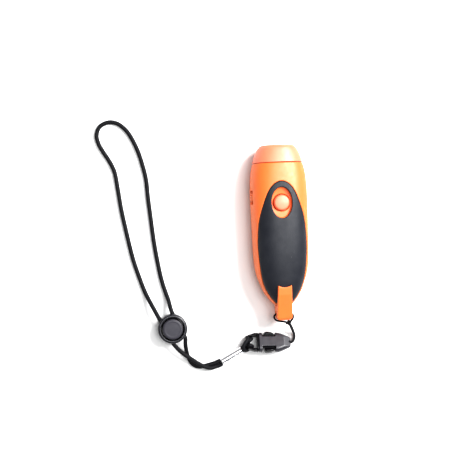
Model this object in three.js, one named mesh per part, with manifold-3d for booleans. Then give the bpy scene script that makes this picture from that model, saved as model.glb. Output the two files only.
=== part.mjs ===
// Electronic hand whistle with a push button, a lanyard clip and a wrist cord.
// Millimetres. +Y points to the horn, +X to the whistle's right, +Z up from the
// surface that it lies on. The origin is under the middle of the whistle.

import * as THREE from 'three';
import { mergeVertices } from 'three/addons/utils/BufferGeometryUtils.js';
import Module from 'manifold-3d';

const wasm = await Module();
wasm.setup();

// ---------------------------------------------------------------- dimensions

const GAP = 0.3;                 // between neighbouring pieces
const SPACE = 60;                // beyond every side of the case
const WALL = 2.4;                // case wall
const MOUTH_Y = 57.5;            // horn end of the case
const SEAM_Y = 46;               // joint between the shells and the horn cap
const TAIL_Y = -47.2;            // tail end of the shells
const TIP_Y = -57.5;             // end of the lanyard loop
const PARTING_Z = 13.5;          // joint between the front and back shells
const AXIS_Z = 13.7;             // axis of the horn
const RING_STEPS = 28;           // points round one section of the case

// The case's outline: [y, half width, top z, bottom z]
const STATIONS = [
  [57.5, 11.3, 24.2, 3.2],
  [55.4, 12.9, 25.0, 2.4],
  [51.5, 14.8, 25.9, 1.5],
  [46, 16.4, 26.8, 0.6],
  [40, 17.8, 27.4, 0],
  [30, 18.65, 27.9, -0.5],
  [16, 18.7, 28, -0.7],
  [0, 18.45, 27.9, -0.7],
  [-12, 18.3, 27.4, -0.7],
  [-20, 17.8, 26.7, -0.6],
  [-26, 16.9, 25.9, -0.4],
  [-32, 15, 24.9, 0.2],
  [-38, 12.6, 23.6, 1.6],
  [-43, 9.4, 22.4, 3.4],
  [-47.2, 5.7, 21.2, 5.6],
];
const TOP_POWER = 2.4;           // squareness of the section above its middle
const BOTTOM_POWER = 2.8;        // and below it

// Grip pad outline: [half width, y], from the horn end to the tail
const PAD_OUTLINE = [
  [0, 33.7], [4.8, 31.8], [8.8, 26.6], [12.5, 17], [14.8, 8], [15.8, -4],
  [15.6, -14], [14.2, -27], [11.8, -35.8], [7.9, -42.4], [5.2, -45.6],
];
const PAD_DEPTH = 1.4;           // depth of the pad's recess in the front shell
const PAD_PROUD = 0.1;

const BUTTON_Y = 19.8;
const BUTTON_RADIUS = 5.2;
const WELL_HALF = [6.7, 10];     // oval well round the button
const WELL_FLOOR_Z = 25.2;
const WELL_PLATE_Z = 22.6;

const CELL_RADIUS = 5.25;        // two small cells side by side
const CELL_X = 5.6;
const CELL_Z = 7.4;
const CELL_LENGTH = 43.7;
const NUB_LENGTH = 0.8;
const BAY_Y = [-27, 23];         // inside length of the battery bay
const BAY_HALF_WIDTH = 11.1;
const BAY_ROOF_Z = 12.8;
const DOOR_MARGIN = 0.5;

const BOARD_Z = 14.6;
const BOARD_THICK = 1.2;
const BOARD_Y = [-14, 29.8];
const BOARD_HALF_WIDTH = 14.6;
const PARTS_Z = BOARD_Z + BOARD_THICK + 0.1;

const SIDE_SCREW = [13.2, 33];
const TAIL_SCREW_Y = -42;

const STRAP_HOLE_Y = -53;
const STRAP_HOLE_Z = 14;
const LOOP_HALF_WIDTH = 5.4;

const CORD_RADIUS = 1.3;
const STRAP_RADIUS = 0.62;

// ---------------------------------------------------------------- materials

function plastic(color, roughness, metalness = 0) {
  return new THREE.MeshStandardMaterial({ color, roughness, metalness });
}
const ORANGE = plastic(0xf7761a, 0.4);
const LIGHT_ORANGE = plastic(0xf79a4e, 0.38);
const CHARCOAL = plastic(0x3a3c44, 0.75);
const BLACK = plastic(0x17171a, 0.5);
const BUCKLE_GREY = plastic(0x3d3a42, 0.45);
const LOCK_GREY = plastic(0x33333d, 0.5);
const BRAID = plastic(0x1b1b1e, 0.9);
const CHROME = plastic(0xe8e8ea, 0.12, 1);
const STEEL = plastic(0xb5b5b8, 0.35, 1);
const BRASS = plastic(0xc9a45a, 0.35, 1);
const BOARD_GREEN = plastic(0x1e6b3a, 0.5);
const CELL_BLUE = plastic(0x2a4a78, 0.35);
const SWITCH_WHITE = plastic(0xd8d8d4, 0.5);

// ---------------------------------------------------------------- solids

function solidOf(geometry) {
  const bare = geometry.clone();
  bare.deleteAttribute('normal');
  bare.deleteAttribute('uv');
  const merged = mergeVertices(bare, 1e-4);
  const index = merged.index.array;
  const triangles = [];
  for (let i = 0; i < index.length; i += 3) {
    const [a, b, c] = [index[i], index[i + 1], index[i + 2]];
    if (a !== b && b !== c && c !== a) triangles.push(a, b, c);
  }
  return new wasm.Manifold(new wasm.Mesh({
    numProp: 3,
    vertProperties: new Float32Array(merged.attributes.position.array),
    triVerts: new Uint32Array(triangles),
  }));
}

function geometryOf(solid) {
  const mesh = solid.getMesh();
  const geometry = new THREE.BufferGeometry();
  geometry.setAttribute('position', new THREE.BufferAttribute(mesh.vertProperties, 3));
  geometry.setIndex(new THREE.BufferAttribute(mesh.triVerts, 1));
  geometry.computeVertexNormals();
  return geometry;
}

function union(...solids) {
  return solids.reduce((sum, solid) => sum.add(solid));
}

function cut(solid, ...tools) {
  return tools.reduce((left, tool) => left.subtract(tool), solid);
}

function place(geometry, placement) {
  const placed = geometry.clone();
  placed.applyMatrix4(placement);
  return placed;
}

// A box given by its two corners
function box(low, high) {
  const size = high.map((value, i) => value - low[i]);
  const middle = high.map((value, i) => (value + low[i]) / 2);
  return solidOf(new THREE.BoxGeometry(...size).translate(...middle));
}

// A flat outline in X and Y, raised from z0 to z1
function prism(shape, z0, z1, segments = 10) {
  const options = { depth: z1 - z0, bevelEnabled: false, curveSegments: segments };
  return solidOf(new THREE.ExtrudeGeometry(shape, options).translate(0, 0, z0));
}

function outline(points) {
  return new THREE.Shape(points.map(([x, y]) => new THREE.Vector2(x, y)));
}

function ellipse(x, y, rx, ry) {
  const shape = new THREE.Shape();
  shape.absellipse(x, y, rx, ry, 0, 2 * Math.PI);
  return shape;
}

// A straight round bar between two points
function rod(from, to, radius, sides = 16) {
  const a = new THREE.Vector3(...from);
  const b = new THREE.Vector3(...to);
  const along = b.clone().sub(a);
  const bar = new THREE.CylinderGeometry(radius, radius, along.length(), sides);
  const turn = new THREE.Quaternion();
  turn.setFromUnitVectors(new THREE.Vector3(0, 1, 0), along.clone().normalize());
  bar.applyQuaternion(turn);
  const middle = a.add(b).multiplyScalar(0.5);
  return solidOf(bar.translate(middle.x, middle.y, middle.z));
}

// A turned piece from [radius, height] pairs round a closed outline.
// Heights run along +Z from the given place.
function turned(pairs, x, y, z, sides = 24) {
  const points = pairs.map(([radius, height]) => new THREE.Vector2(radius, height));
  if (pairs[0][0] > 0) points.push(points[0].clone());
  const lathe = new THREE.LatheGeometry(points, sides);
  lathe.rotateX(Math.PI / 2);
  return solidOf(lathe.translate(x, y, z));
}

// The same, with heights along +Y on the horn's axis
function turnedOnHorn(pairs, sides = 24) {
  const points = pairs.map(([radius, y]) => new THREE.Vector2(radius, y));
  if (pairs[0][0] > 0) points.push(points[0].clone());
  return solidOf(new THREE.LatheGeometry(points, sides).translate(0, 0, AXIS_Z));
}

// A tube along a smooth curve through the points
function tube(points, radius, steps, sides = 8) {
  const path = new THREE.CatmullRomCurve3(points.map((p) => new THREE.Vector3(...p)), false, 'centripetal');
  const section = [];
  for (let i = 0; i < sides; i += 1) {
    const angle = 2 * Math.PI * i / sides;
    section.push([radius * Math.cos(angle), radius * Math.sin(angle)]);
  }
  return solidOf(new THREE.ExtrudeGeometry(outline(section), { extrudePath: path, steps }));
}

// A wire coil standing on a point, with its axis along the given direction
function coil(foot, direction, radius, wire, length, turns) {
  const points = [];
  const perTurn = 8;
  for (let i = 0; i <= turns * perTurn; i += 1) {
    const angle = 2 * Math.PI * i / perTurn;
    const height = length * i / (turns * perTurn);
    points.push(new THREE.Vector3(radius * Math.cos(angle), height, radius * Math.sin(angle)));
  }
  const turn = new THREE.Quaternion();
  turn.setFromUnitVectors(new THREE.Vector3(0, 1, 0), new THREE.Vector3(...direction));
  for (const point of points) {
    point.applyQuaternion(turn).add(new THREE.Vector3(...foot));
  }
  return tube(points.map((p) => p.toArray()), wire / 2, turns * perTurn, 4);
}

// ---------------------------------------------------------------- case surface

// Smooth value of one column of STATIONS at any y
function stationValue(y, column) {
  const rows = STATIONS;
  let i = 0;
  while (i < rows.length - 2 && y < rows[i + 1][0]) i += 1;
  const slope = (a, b) => (rows[b][column] - rows[a][column]) / (rows[b][0] - rows[a][0]);
  const here = slope(i, i + 1);
  const start = i > 0 ? (slope(i - 1, i) + here) / 2 : here;
  const end = i < rows.length - 2 ? (here + slope(i + 1, i + 2)) / 2 : here;
  const span = rows[i + 1][0] - rows[i][0];
  const t = (y - rows[i][0]) / span;
  const t2 = t * t;
  const t3 = t2 * t;
  return (2 * t3 - 3 * t2 + 1) * rows[i][column]
    + (t3 - 2 * t2 + t) * span * start
    + (3 * t2 - 2 * t3) * rows[i + 1][column]
    + (t3 - t2) * span * end;
}

// One section of the case at y, grown outwards by offset, with a flat foot
function section(y, offset) {
  const halfWidth = stationValue(y, 1) + offset;
  const top = stationValue(y, 2) + offset;
  const bottom = stationValue(y, 3) - offset;
  const middle = (top + bottom) / 2;
  const half = (top - bottom) / 2;
  const points = [];
  for (let i = 0; i < RING_STEPS; i += 1) {
    const angle = 2 * Math.PI * i / RING_STEPS;
    const power = Math.sin(angle) >= 0 ? TOP_POWER : BOTTOM_POWER;
    const along = Math.abs(Math.cos(angle)) ** (2 / power) * Math.sign(Math.cos(angle));
    const up = Math.abs(Math.sin(angle)) ** (2 / power) * Math.sign(Math.sin(angle));
    points.push([halfWidth * along, y, Math.max(middle + half * up, -offset)]);
  }
  return points;
}

// The closed case surface from one y to a larger one
function caseBody(y0, y1, offset, spacing = 6.7) {
  const count = Math.max(1, Math.round((y1 - y0) / spacing));
  const positions = [];
  const triangles = [];
  for (let ring = 0; ring <= count; ring += 1) {
    positions.push(...section(y0 + (y1 - y0) * ring / count, offset).flat());
  }
  const last = count * RING_STEPS;
  for (let i = 0; i < RING_STEPS; i += 1) {
    const next = (i + 1) % RING_STEPS;
    for (let ring = 0; ring < count; ring += 1) {
      const a = ring * RING_STEPS;
      const b = a + RING_STEPS;
      triangles.push(a + i, b + i, b + next);
      triangles.push(a + i, b + next, a + next);
    }
    if (i > 0 && next > 0) {
      triangles.push(0, i, next);
      triangles.push(last, last + next, last + i);
    }
  }
  const geometry = new THREE.BufferGeometry();
  geometry.setAttribute('position', new THREE.Float32BufferAttribute(positions, 3));
  geometry.setIndex(triangles);
  return solidOf(geometry);
}

// ---------------------------------------------------------------- outlines

function padShape(grow) {
  const right = PAD_OUTLINE.map(([x, y], i) => {
    const lift = i === 0 ? grow : 0;
    return new THREE.Vector2(x > 0 ? x + grow : 0, y + lift);
  });
  const left = right.slice(1).reverse().map((p) => new THREE.Vector2(-p.x, p.y));
  const curve = new THREE.SplineCurve([...left, ...right]);
  return new THREE.Shape(curve.getPoints(32));
}

function roundedRectangle(x0, y0, x1, y1, radius) {
  const shape = new THREE.Shape();
  shape.moveTo(x0 + radius, y0);
  shape.lineTo(x1 - radius, y0);
  shape.absarc(x1 - radius, y0 + radius, radius, -Math.PI / 2, 0);
  shape.absarc(x1 - radius, y1 - radius, radius, 0, Math.PI / 2);
  shape.absarc(x0 + radius, y1 - radius, radius, Math.PI / 2, Math.PI);
  shape.absarc(x0 + radius, y0 + radius, radius, Math.PI, 1.5 * Math.PI);
  return shape;
}

// ---------------------------------------------------------------- shells

const shellOuter = caseBody(TAIL_Y, SEAM_Y - GAP / 2, 0);
const shellInner = caseBody(TAIL_Y + WALL, SEAM_Y + 1, -WALL);
const caseShell = cut(shellOuter, shellInner);
const aboveParting = box([-SPACE, -SPACE, PARTING_Z + GAP / 2], [SPACE, SPACE, SPACE]);
const belowParting = box([-SPACE, -SPACE, -SPACE], [SPACE, SPACE, PARTING_Z - GAP / 2]);

const TANG = { half: 3.7, z0: 11.4, z1: 15.6, y0: -47.6, y1: -38.2 };
const tangSlot = box(
  [-TANG.half - GAP, TAIL_Y - 1, TANG.z0 - GAP],
  [TANG.half + GAP, TAIL_Y + WALL + 1, TANG.z1 + GAP],
);

// Screw places: [x, y, head seat z, shank end z, boss radius]
const SCREWS = [
  { x: -SIDE_SCREW[0], y: SIDE_SCREW[1], seat: 5.2, end: 19, boss: 2.3 },
  { x: SIDE_SCREW[0], y: SIDE_SCREW[1], seat: 5.2, end: 19, boss: 2.3 },
  { x: 0, y: TAIL_SCREW_Y, seat: 6.4, end: 16, boss: 2.2 },
];
const SCREW_HEAD = { radius: 1.9, height: 1.3 };
const SCREW_SHANK = 1;

// Tone slider on the left wall
const TONE = { y: 24, z: 16.9, travel: 1.6 };
const TONE_KNOB = { length: 4.8, height: 4, x0: -19.4, x1: -17.3 };
const TONE_STEM = { length: 1.6, height: 1.4 };

function frontShell() {
  const plate = prism(ellipse(0, BUTTON_Y, WELL_HALF[0] + 1.7, WELL_HALF[1] + 1.7), WELL_PLATE_Z, 26);
  const padTool = cut(
    prism(padShape(0.25), PARTING_Z + 1, SPACE),
    caseBody(TAIL_Y - 1, SEAM_Y, -PAD_DEPTH),
  );
  const rim = prism(ellipse(0, BUTTON_Y, WELL_HALF[0] - 0.2, WELL_HALF[1] - 0.2), WELL_FLOOR_Z, SPACE);
  const buttonHole = rod(
    [0, BUTTON_Y, WELL_PLATE_Z - 1], [0, BUTTON_Y, 28], BUTTON_RADIUS + 0.35, 24,
  );
  let solid = cut(union(caseShell.intersect(aboveParting), plate), padTool, rim, buttonHole);
  for (const screw of SCREWS) {
    const isTail = screw.x === 0;
    const foot = isTail ? TANG.z0 - 0.4 : PARTING_Z + GAP / 2;
    const boss = rod([screw.x, screw.y, foot], [screw.x, screw.y, SPACE / 2], screw.boss, 18);
    const pilot = rod([screw.x, screw.y, foot - 1], [screw.x, screw.y, screw.end + 1.5],
      SCREW_SHANK + 0.15, 14);
    solid = union(solid, boss.intersect(caseBody(TAIL_Y, SEAM_Y, -PAD_DEPTH - 0.2)));
    solid = solid.subtract(pilot);
  }
  const recess = box(
    [-SPACE, TONE.y - TONE_KNOB.length / 2 - TONE.travel - 0.6, TONE.z - TONE_KNOB.height / 2 - GAP],
    [TONE_KNOB.x1 + GAP, TONE.y + TONE_KNOB.length / 2 + TONE.travel + 0.6,
      TONE.z + TONE_KNOB.height / 2 + GAP],
  );
  const slot = box(
    [-SPACE, TONE.y - TONE_STEM.length / 2 - TONE.travel - 1, TONE.z - TONE_STEM.height / 2 - GAP],
    [-12, TONE.y + TONE_STEM.length / 2 + TONE.travel + 1, TONE.z + TONE_STEM.height / 2 + GAP],
  );
  return cut(solid, recess, slot, tangSlot);
}

function doorShape(grow) {
  return roundedRectangle(
    -BAY_HALF_WIDTH - 0.3 - grow, BAY_Y[0] - DOOR_MARGIN - grow,
    BAY_HALF_WIDTH + 0.3 + grow, BAY_Y[1] + DOOR_MARGIN + grow, 2 + grow,
  );
}

function backShell() {
  let solid = caseShell.intersect(belowParting);
  const tray = box(
    [-BAY_HALF_WIDTH - 1.5, BAY_Y[0] - 1.3, 1.2],
    [BAY_HALF_WIDTH + 1.5, BAY_Y[1] + 1.3, BAY_ROOF_Z + 1],
  );
  solid = union(solid, tray.intersect(caseBody(TAIL_Y, SEAM_Y, -1)));
  for (const x of [-9, 9]) {
    for (const y of [-11, 26.5]) {
      const foot = y > BAY_Y[1] ? 1 : BAY_ROOF_Z;
      solid = union(solid, rod([x, y, foot], [x, y, BOARD_Z - 0.25], 1.3, 12));
    }
  }
  const bay = box(
    [-BAY_HALF_WIDTH, BAY_Y[0], -1],
    [BAY_HALF_WIDTH, BAY_Y[1], BAY_ROOF_Z],
  );
  solid = cut(solid, bay, prism(doorShape(GAP), -1, 2.4));
  for (const screw of SCREWS) {
    const isTail = screw.x === 0;
    const top = isTail ? TANG.z0 - GAP - 0.5 : PARTING_Z - GAP / 2;
    const boss = rod([screw.x, screw.y, 1], [screw.x, screw.y, top], 3.1, 18);
    solid = union(solid, boss.intersect(caseBody(TAIL_Y, SEAM_Y, -0.6)));
    const sink = rod([screw.x, screw.y, -1], [screw.x, screw.y, screw.seat],
      SCREW_HEAD.radius + GAP, 18);
    const clear = rod([screw.x, screw.y, 0], [screw.x, screw.y, top + 1],
      SCREW_SHANK + 0.25, 14);
    solid = cut(solid, sink, clear);
  }
  return solid.subtract(tangSlot);
}

function batteryDoor() {
  const plate = prism(doorShape(0), -1, 2.1).intersect(caseBody(TAIL_Y, SEAM_Y, -0.15));
  let solid = plate;
  for (const side of [-1, 1]) {
    const rib = box([-0.3, BAY_Y[0] + 4, 1.9], [0.3, BAY_Y[1] - 4, 4]);
    solid = union(solid, rib.translate([side * (BAY_HALF_WIDTH - 0.6), 0, 0]));
  }
  for (let i = 0; i < 4; i += 1) {
    const y = 15 + 1.6 * i;
    solid = solid.subtract(box([-5, y, -1], [5, y + 0.8, 0.6]));
  }
  return solid;
}

// ---------------------------------------------------------------- horn

const HORN_BORE = 8.9;
function hornCap() {
  const shell = caseBody(SEAM_Y + GAP / 2, MOUTH_Y, 0, 3.8);
  const collar = caseBody(SEAM_Y - 4.5, SEAM_Y + 1, -WALL - GAP, 6);
  const bore = turnedOnHorn([
    [0, SEAM_Y - 8], [HORN_BORE, SEAM_Y - 8], [HORN_BORE, MOUTH_Y - 1],
    [HORN_BORE + 0.5, MOUTH_Y + 0.5], [0, MOUTH_Y + 0.5],
  ], 28);
  return cut(union(shell, collar), bore);
}

const HORN_THROAT_Y = 40.2;
const GRILLE_Y = 55.4;
function hornFunnel() {
  const steps = 4;
  const length = GRILLE_Y - GAP - HORN_THROAT_Y;
  const bell = [];
  for (let i = 0; i <= steps; i += 1) {
    const t = i / steps;
    bell.push([2.6 + 5.1 * t ** 2, HORN_THROAT_Y + length * t]);
  }
  const outside = bell.map(([radius, y]) => [radius + 0.8, y]).reverse();
  const front = [[HORN_BORE - GAP, GRILLE_Y - GAP], [HORN_BORE - GAP, GRILLE_Y - GAP - 1]];
  const back = [[HORN_BORE - GAP, HORN_THROAT_Y + 1], [HORN_BORE - GAP, HORN_THROAT_Y]];
  return turnedOnHorn([...bell, ...front, ...outside.slice(1, -1), ...back].reverse());
}

function hornGrille() {
  const radius = HORN_BORE - GAP;
  let solid = rod([0, GRILLE_Y, AXIS_Z], [0, GRILLE_Y + 1.2, AXIS_Z], radius, 24);
  for (let i = -2; i <= 2; i += 1) {
    const z = AXIS_Z + 2.9 * i;
    const reach = Math.sqrt(6.9 ** 2 - (2.9 * i) ** 2);
    solid = solid.subtract(box([-reach, GRILLE_Y - 1, z - 0.8], [reach, GRILLE_Y + 3, z + 0.8]));
  }
  return solid;
}

function driverHousing() {
  const outer = 9.6;
  return turnedOnHorn([
    [0, 33], [outer, 33], [outer, HORN_THROAT_Y - GAP], [outer - 1, HORN_THROAT_Y - GAP],
    [outer - 1, 34.2], [0, 34.2],
  ]);
}

function piezoElement() {
  return rod([0, 37.6, AXIS_Z], [0, 38.4, AXIS_Z], 8.2, 28);
}

// ---------------------------------------------------------------- controls

function gripPad() {
  const blank = prism(padShape(0), PARTING_Z + 1, SPACE).intersect(
    caseBody(TAIL_Y - 1, SEAM_Y, PAD_PROUD));
  const hole = prism(ellipse(0, BUTTON_Y, ...WELL_HALF), PARTING_Z, SPACE, 12);
  return cut(blank, caseBody(TAIL_Y - 1, SEAM_Y, GAP / 2 - PAD_DEPTH), hole);
}

const FLANGE_Z = 20.9;
const BUTTON_TOP_Z = 27.3;
function pushButton() {
  const flange = 6.3;
  return turned([
    [0, FLANGE_Z], [flange, FLANGE_Z], [flange, WELL_PLATE_Z - GAP],
    [BUTTON_RADIUS, WELL_PLATE_Z - GAP], [BUTTON_RADIUS, BUTTON_TOP_Z - 0.9],
    [BUTTON_RADIUS - 0.5, BUTTON_TOP_Z - 0.4], [BUTTON_RADIUS - 2.2, BUTTON_TOP_Z - 0.1],
    [0, BUTTON_TOP_Z],
  ], 0, BUTTON_Y, 0, 24);
}

const SWITCH_TOP_Z = 19.4;
function tactSwitch() {
  const body = box([-3, BUTTON_Y - 3, PARTS_Z], [3, BUTTON_Y + 3, SWITCH_TOP_Z]);
  return cut(body, rod([0, BUTTON_Y, 16.4], [0, BUTTON_Y, 21], 2.05, 18));
}

function switchPlunger() {
  return rod([0, BUTTON_Y, 17.6], [0, BUTTON_Y, FLANGE_Z - GAP], 1.75, 18);
}

function toneSlider() {
  const halfHeight = TONE_KNOB.height / 2;
  const knob = box(
    [TONE_KNOB.x0, TONE.y - TONE_KNOB.length / 2, TONE.z - halfHeight],
    [TONE_KNOB.x1, TONE.y + TONE_KNOB.length / 2, TONE.z + halfHeight],
  );
  const stem = box(
    [TONE_KNOB.x1 - 0.2, TONE.y - TONE_STEM.length / 2, TONE.z - TONE_STEM.height / 2],
    [-13.8, TONE.y + TONE_STEM.length / 2, TONE.z + TONE_STEM.height / 2],
  );
  let solid = union(knob.intersect(caseBody(TAIL_Y, SEAM_Y, -0.15)), stem);
  for (const shift of [-1.5, 0, 1.5]) {
    const y = TONE.y + shift;
    solid = solid.subtract(box([-20, y - 0.3, TONE.z - 3], [-18.1, y + 0.3, TONE.z + 3]));
  }
  return solid;
}

function slideSwitch() {
  const reach = TONE_STEM.length / 2 + TONE.travel + 0.4;
  const body = box([-14.5, 19.6, PARTS_Z], [-10.4, 28.4, 19.5]);
  const slot = box(
    [-15, TONE.y - reach, TONE.z - TONE_STEM.height / 2 - 0.35],
    [-13.2, TONE.y + reach, TONE.z + TONE_STEM.height / 2 + 0.35],
  );
  return body.subtract(slot);
}

// ---------------------------------------------------------------- electronics

function circuitBoard() {
  const shape = roundedRectangle(-BOARD_HALF_WIDTH, BOARD_Y[0], BOARD_HALF_WIDTH, BOARD_Y[1], 1.5);
  return prism(shape, BOARD_Z, BOARD_Z + BOARD_THICK, 4);
}

function controlChip() {
  return box([3, -2, PARTS_Z], [11, 3, PARTS_Z + 1.5]);
}

function boostCoil() {
  const z = PARTS_Z;
  const post = rod([-6, 2, z], [-6, 2, z + 5.6], 2, 18);
  const foot = rod([-6, 2, z], [-6, 2, z + 1], 4.2, 24);
  const head = rod([-6, 2, z + 4.8], [-6, 2, z + 5.8], 4.2, 24);
  const winding = rod([-6, 2, z + 0.9], [-6, 2, z + 4.9], 3.4, 24);
  return union(post, foot, head, winding);
}

function capacitor() {
  return turned([[0, 0], [2.5, 0], [2.5, 6.2], [2.2, 6.6], [0, 6.6]], 6, -8, PARTS_Z, 20);
}

// direction is +1 when the nub points to the horn
function batteryCell(x, direction, nubTipY) {
  const start = nubTipY - direction * NUB_LENGTH;
  const end = start - direction * CELL_LENGTH;
  const body = rod([x, start, CELL_Z], [x, end, CELL_Z], CELL_RADIUS, 24);
  const nub = rod([x, start - direction, CELL_Z], [x, nubTipY, CELL_Z], 1.8, 14);
  return union(body, nub);
}

const PLATE = 0.5;
function contactPlate(x, y) {
  return box([x - 4, y, CELL_Z - 4], [x + 4, y + PLATE, CELL_Z + 4]);
}

function caseScrew({ x, y, seat, end }) {
  const head = seat - GAP / 2 - SCREW_HEAD.height;
  const body = turned([
    [0, head], [SCREW_HEAD.radius, head + 0.3], [SCREW_HEAD.radius, head + SCREW_HEAD.height],
    [SCREW_SHANK, head + SCREW_HEAD.height], [SCREW_SHANK, end - 1], [0, end],
  ], x, y, 0, 12);
  const slot = box([-1.2, -0.25, head - 1], [1.2, 0.25, head + 0.7]).translate([x, y, 0]);
  const cross = box([-0.25, -1.2, head - 1], [0.25, 1.2, head + 0.7]).translate([x, y, 0]);
  return cut(body, slot, cross);
}

// ---------------------------------------------------------------- lanyard loop

// Side view of the loop in Y and Z: a tongue over the pad and a thick end
const LOOP_SIDE = [
  [-33, 20], [-33, 25.9], [-36, 25.5], [-40, 24.6], [-46, 22.8], [-52, 21], [-55.6, 19.9],
  [-56.9, 18.9], [TIP_Y, 17.4], [TIP_Y, 11.6], [-56.9, 10.2], [-55.2, 9.2], [-47.6, 8.2], [-46, 8.2],
];

function lanyardLoop() {
  const side = outline(LOOP_SIDE);
  const options = {
    depth: 2 * LOOP_HALF_WIDTH - 1.6, bevelEnabled: true, bevelThickness: 0.8, bevelSize: 0.8,
    bevelOffset: -0.8, bevelSegments: 2,
  };
  const blank = new THREE.ExtrudeGeometry(side, options);
  const axes = new THREE.Matrix4().makeBasis(
    new THREE.Vector3(0, 1, 0), new THREE.Vector3(0, 0, 1), new THREE.Vector3(1, 0, 0));
  axes.setPosition(0.8 - LOOP_HALF_WIDTH, 0, 0);
  const plan = new THREE.Shape();
  const half = LOOP_HALF_WIDTH + 0.1;
  const corner = 3.2;
  plan.moveTo(-half, -33.6);
  plan.lineTo(-half, TIP_Y + corner);
  plan.absarc(corner - half, TIP_Y + corner, corner, Math.PI, 1.5 * Math.PI);
  plan.absarc(half - corner, TIP_Y + corner, corner, 1.5 * Math.PI, 2 * Math.PI);
  plan.lineTo(half, -33.6);
  plan.quadraticCurveTo(0, -37, -half, -33.6);
  const strap = solidOf(place(blank, axes)).intersect(prism(plan, 0, 30, 8));
  const clearOfCase = caseBody(TAIL_Y - 0.2, SEAM_Y, 0.4);
  const tang = box([-TANG.half, TANG.y0, TANG.z0], [TANG.half, TANG.y1, TANG.z1]);
  const screwHole = rod([0, TAIL_SCREW_Y, 8], [0, TAIL_SCREW_Y, 18], 2.6, 20);
  const strapHole = rod([-9, STRAP_HOLE_Y, STRAP_HOLE_Z], [9, STRAP_HOLE_Y, STRAP_HOLE_Z], 1.7, 16);
  return cut(union(strap.subtract(clearOfCase), tang), screwHole, strapHole);
}

// ---------------------------------------------------------------- strap cord

// Thin cord: from the buckle to the knot, round through the loop's cross hole,
// back to the knot and to the buckle again.
const STRAP_OUT = [
  [-2.9, -72.87, 5.44], [1.4, -73.08, 5.44], [5.2, -73.2, 5.44], [6.6, -72.85, 5],
  [7.65, -71.8, 3.9], [8.25, -70.1, 2.9], [7.8, -67.7, 3.4], [6.5, -64.8, 5.6], [5, -61.9, 7.9],
  [4, -60.4, 9.2],
];
const STRAP_LOOP = [
  [3.7, -60, 9.3], [1.4, -59.1, 10.6], [-1.5, -58.45, 11.7], [-4.1, -57.75, 12.8],
  [-5.85, -56.4, 13.6], [-6.3, -54.7, 14.05], [-5.1, -53.35, 14.05], [-2.8, -52.75, 14],
  [0, -52.5, 14], [2.8, -52.75, 14], [5.1, -53.35, 14], [6.35, -54.7, 13.8],
  [6.25, -56.6, 12.9], [5.4, -58.4, 11.3], [4.2, -59.9, 9.6],
];
const STRAP_BACK = [
  [4.3, -60.2, 8.8], [5.8, -61.9, 6.8], [7.2, -64.6, 4.4], [8.45, -67.5, 2.1],
  [8.95, -70.1, 1.5], [8.15, -72.3, 2.5], [6.7, -73.6, 3.9], [5.2, -73.85, 4.26],
  [1.4, -73.72, 4.26], [-2.9, -73.5, 4.26],
];

function strapCord() {
  const knot = solidOf(new THREE.IcosahedronGeometry(1.45, 1).translate(3.9, -60.1, 9.2));
  const stopper = solidOf(new THREE.IcosahedronGeometry(1.3, 1).translate(-3.6, -73.15, 4.85));
  return union(
    tube(STRAP_OUT, STRAP_RADIUS, 12),
    tube(STRAP_LOOP, STRAP_RADIUS, 18),
    tube(STRAP_BACK, STRAP_RADIUS, 12),
    knot, stopper,
  );
}

// ---------------------------------------------------------------- buckle

// The buckle's own axes: u from the cord bar to the strap end, v across, z through it.
// It lies rolled over on one long edge.
const BUCKLE_BAR = [-22.6, -72.2];
const BUCKLE_TURN = -0.05;
const BUCKLE_ROLL = 0.5;
const BUCKLE_HEIGHT = 4.85;      // of its axis above the surface it lies on
const BUCKLE_HALF = 2.9;         // half its thickness

function inBuckle(solid) {
  const turn = new THREE.Matrix4().makeRotationZ(BUCKLE_TURN);
  turn.setPosition(BUCKLE_BAR[0], BUCKLE_BAR[1], BUCKLE_HEIGHT);
  turn.multiply(new THREE.Matrix4().makeRotationX(-BUCKLE_ROLL));
  return solid.transform(turn.elements);
}

const MOUTH_U = 6.9;
const SOCKET_END_U = 27.8;
const WINDOW_U = [8.6, 17.5];
const WINDOW_V = 3.4;
const THROAT_HALF = 1.8;         // half the throat's height

// Cross-section with sloping shoulders, drawn out along u
function shoulders(u0, u1, halfWidth) {
  const low = halfWidth - 2;
  const side = BUCKLE_HALF - 1.9;
  const section = outline([
    [-halfWidth, -side], [-low, -BUCKLE_HALF], [low, -BUCKLE_HALF], [halfWidth, -side],
    [halfWidth, side], [low, BUCKLE_HALF], [-low, BUCKLE_HALF], [-halfWidth, side],
  ]);
  const bar = new THREE.ExtrudeGeometry(section, { depth: u1 - u0, bevelEnabled: false });
  const alongU = new THREE.Matrix4().makeBasis(
    new THREE.Vector3(0, 1, 0), new THREE.Vector3(0, 0, 1), new THREE.Vector3(1, 0, 0));
  alongU.setPosition(u0, 0, 0);
  return solidOf(place(bar, alongU));
}

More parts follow.
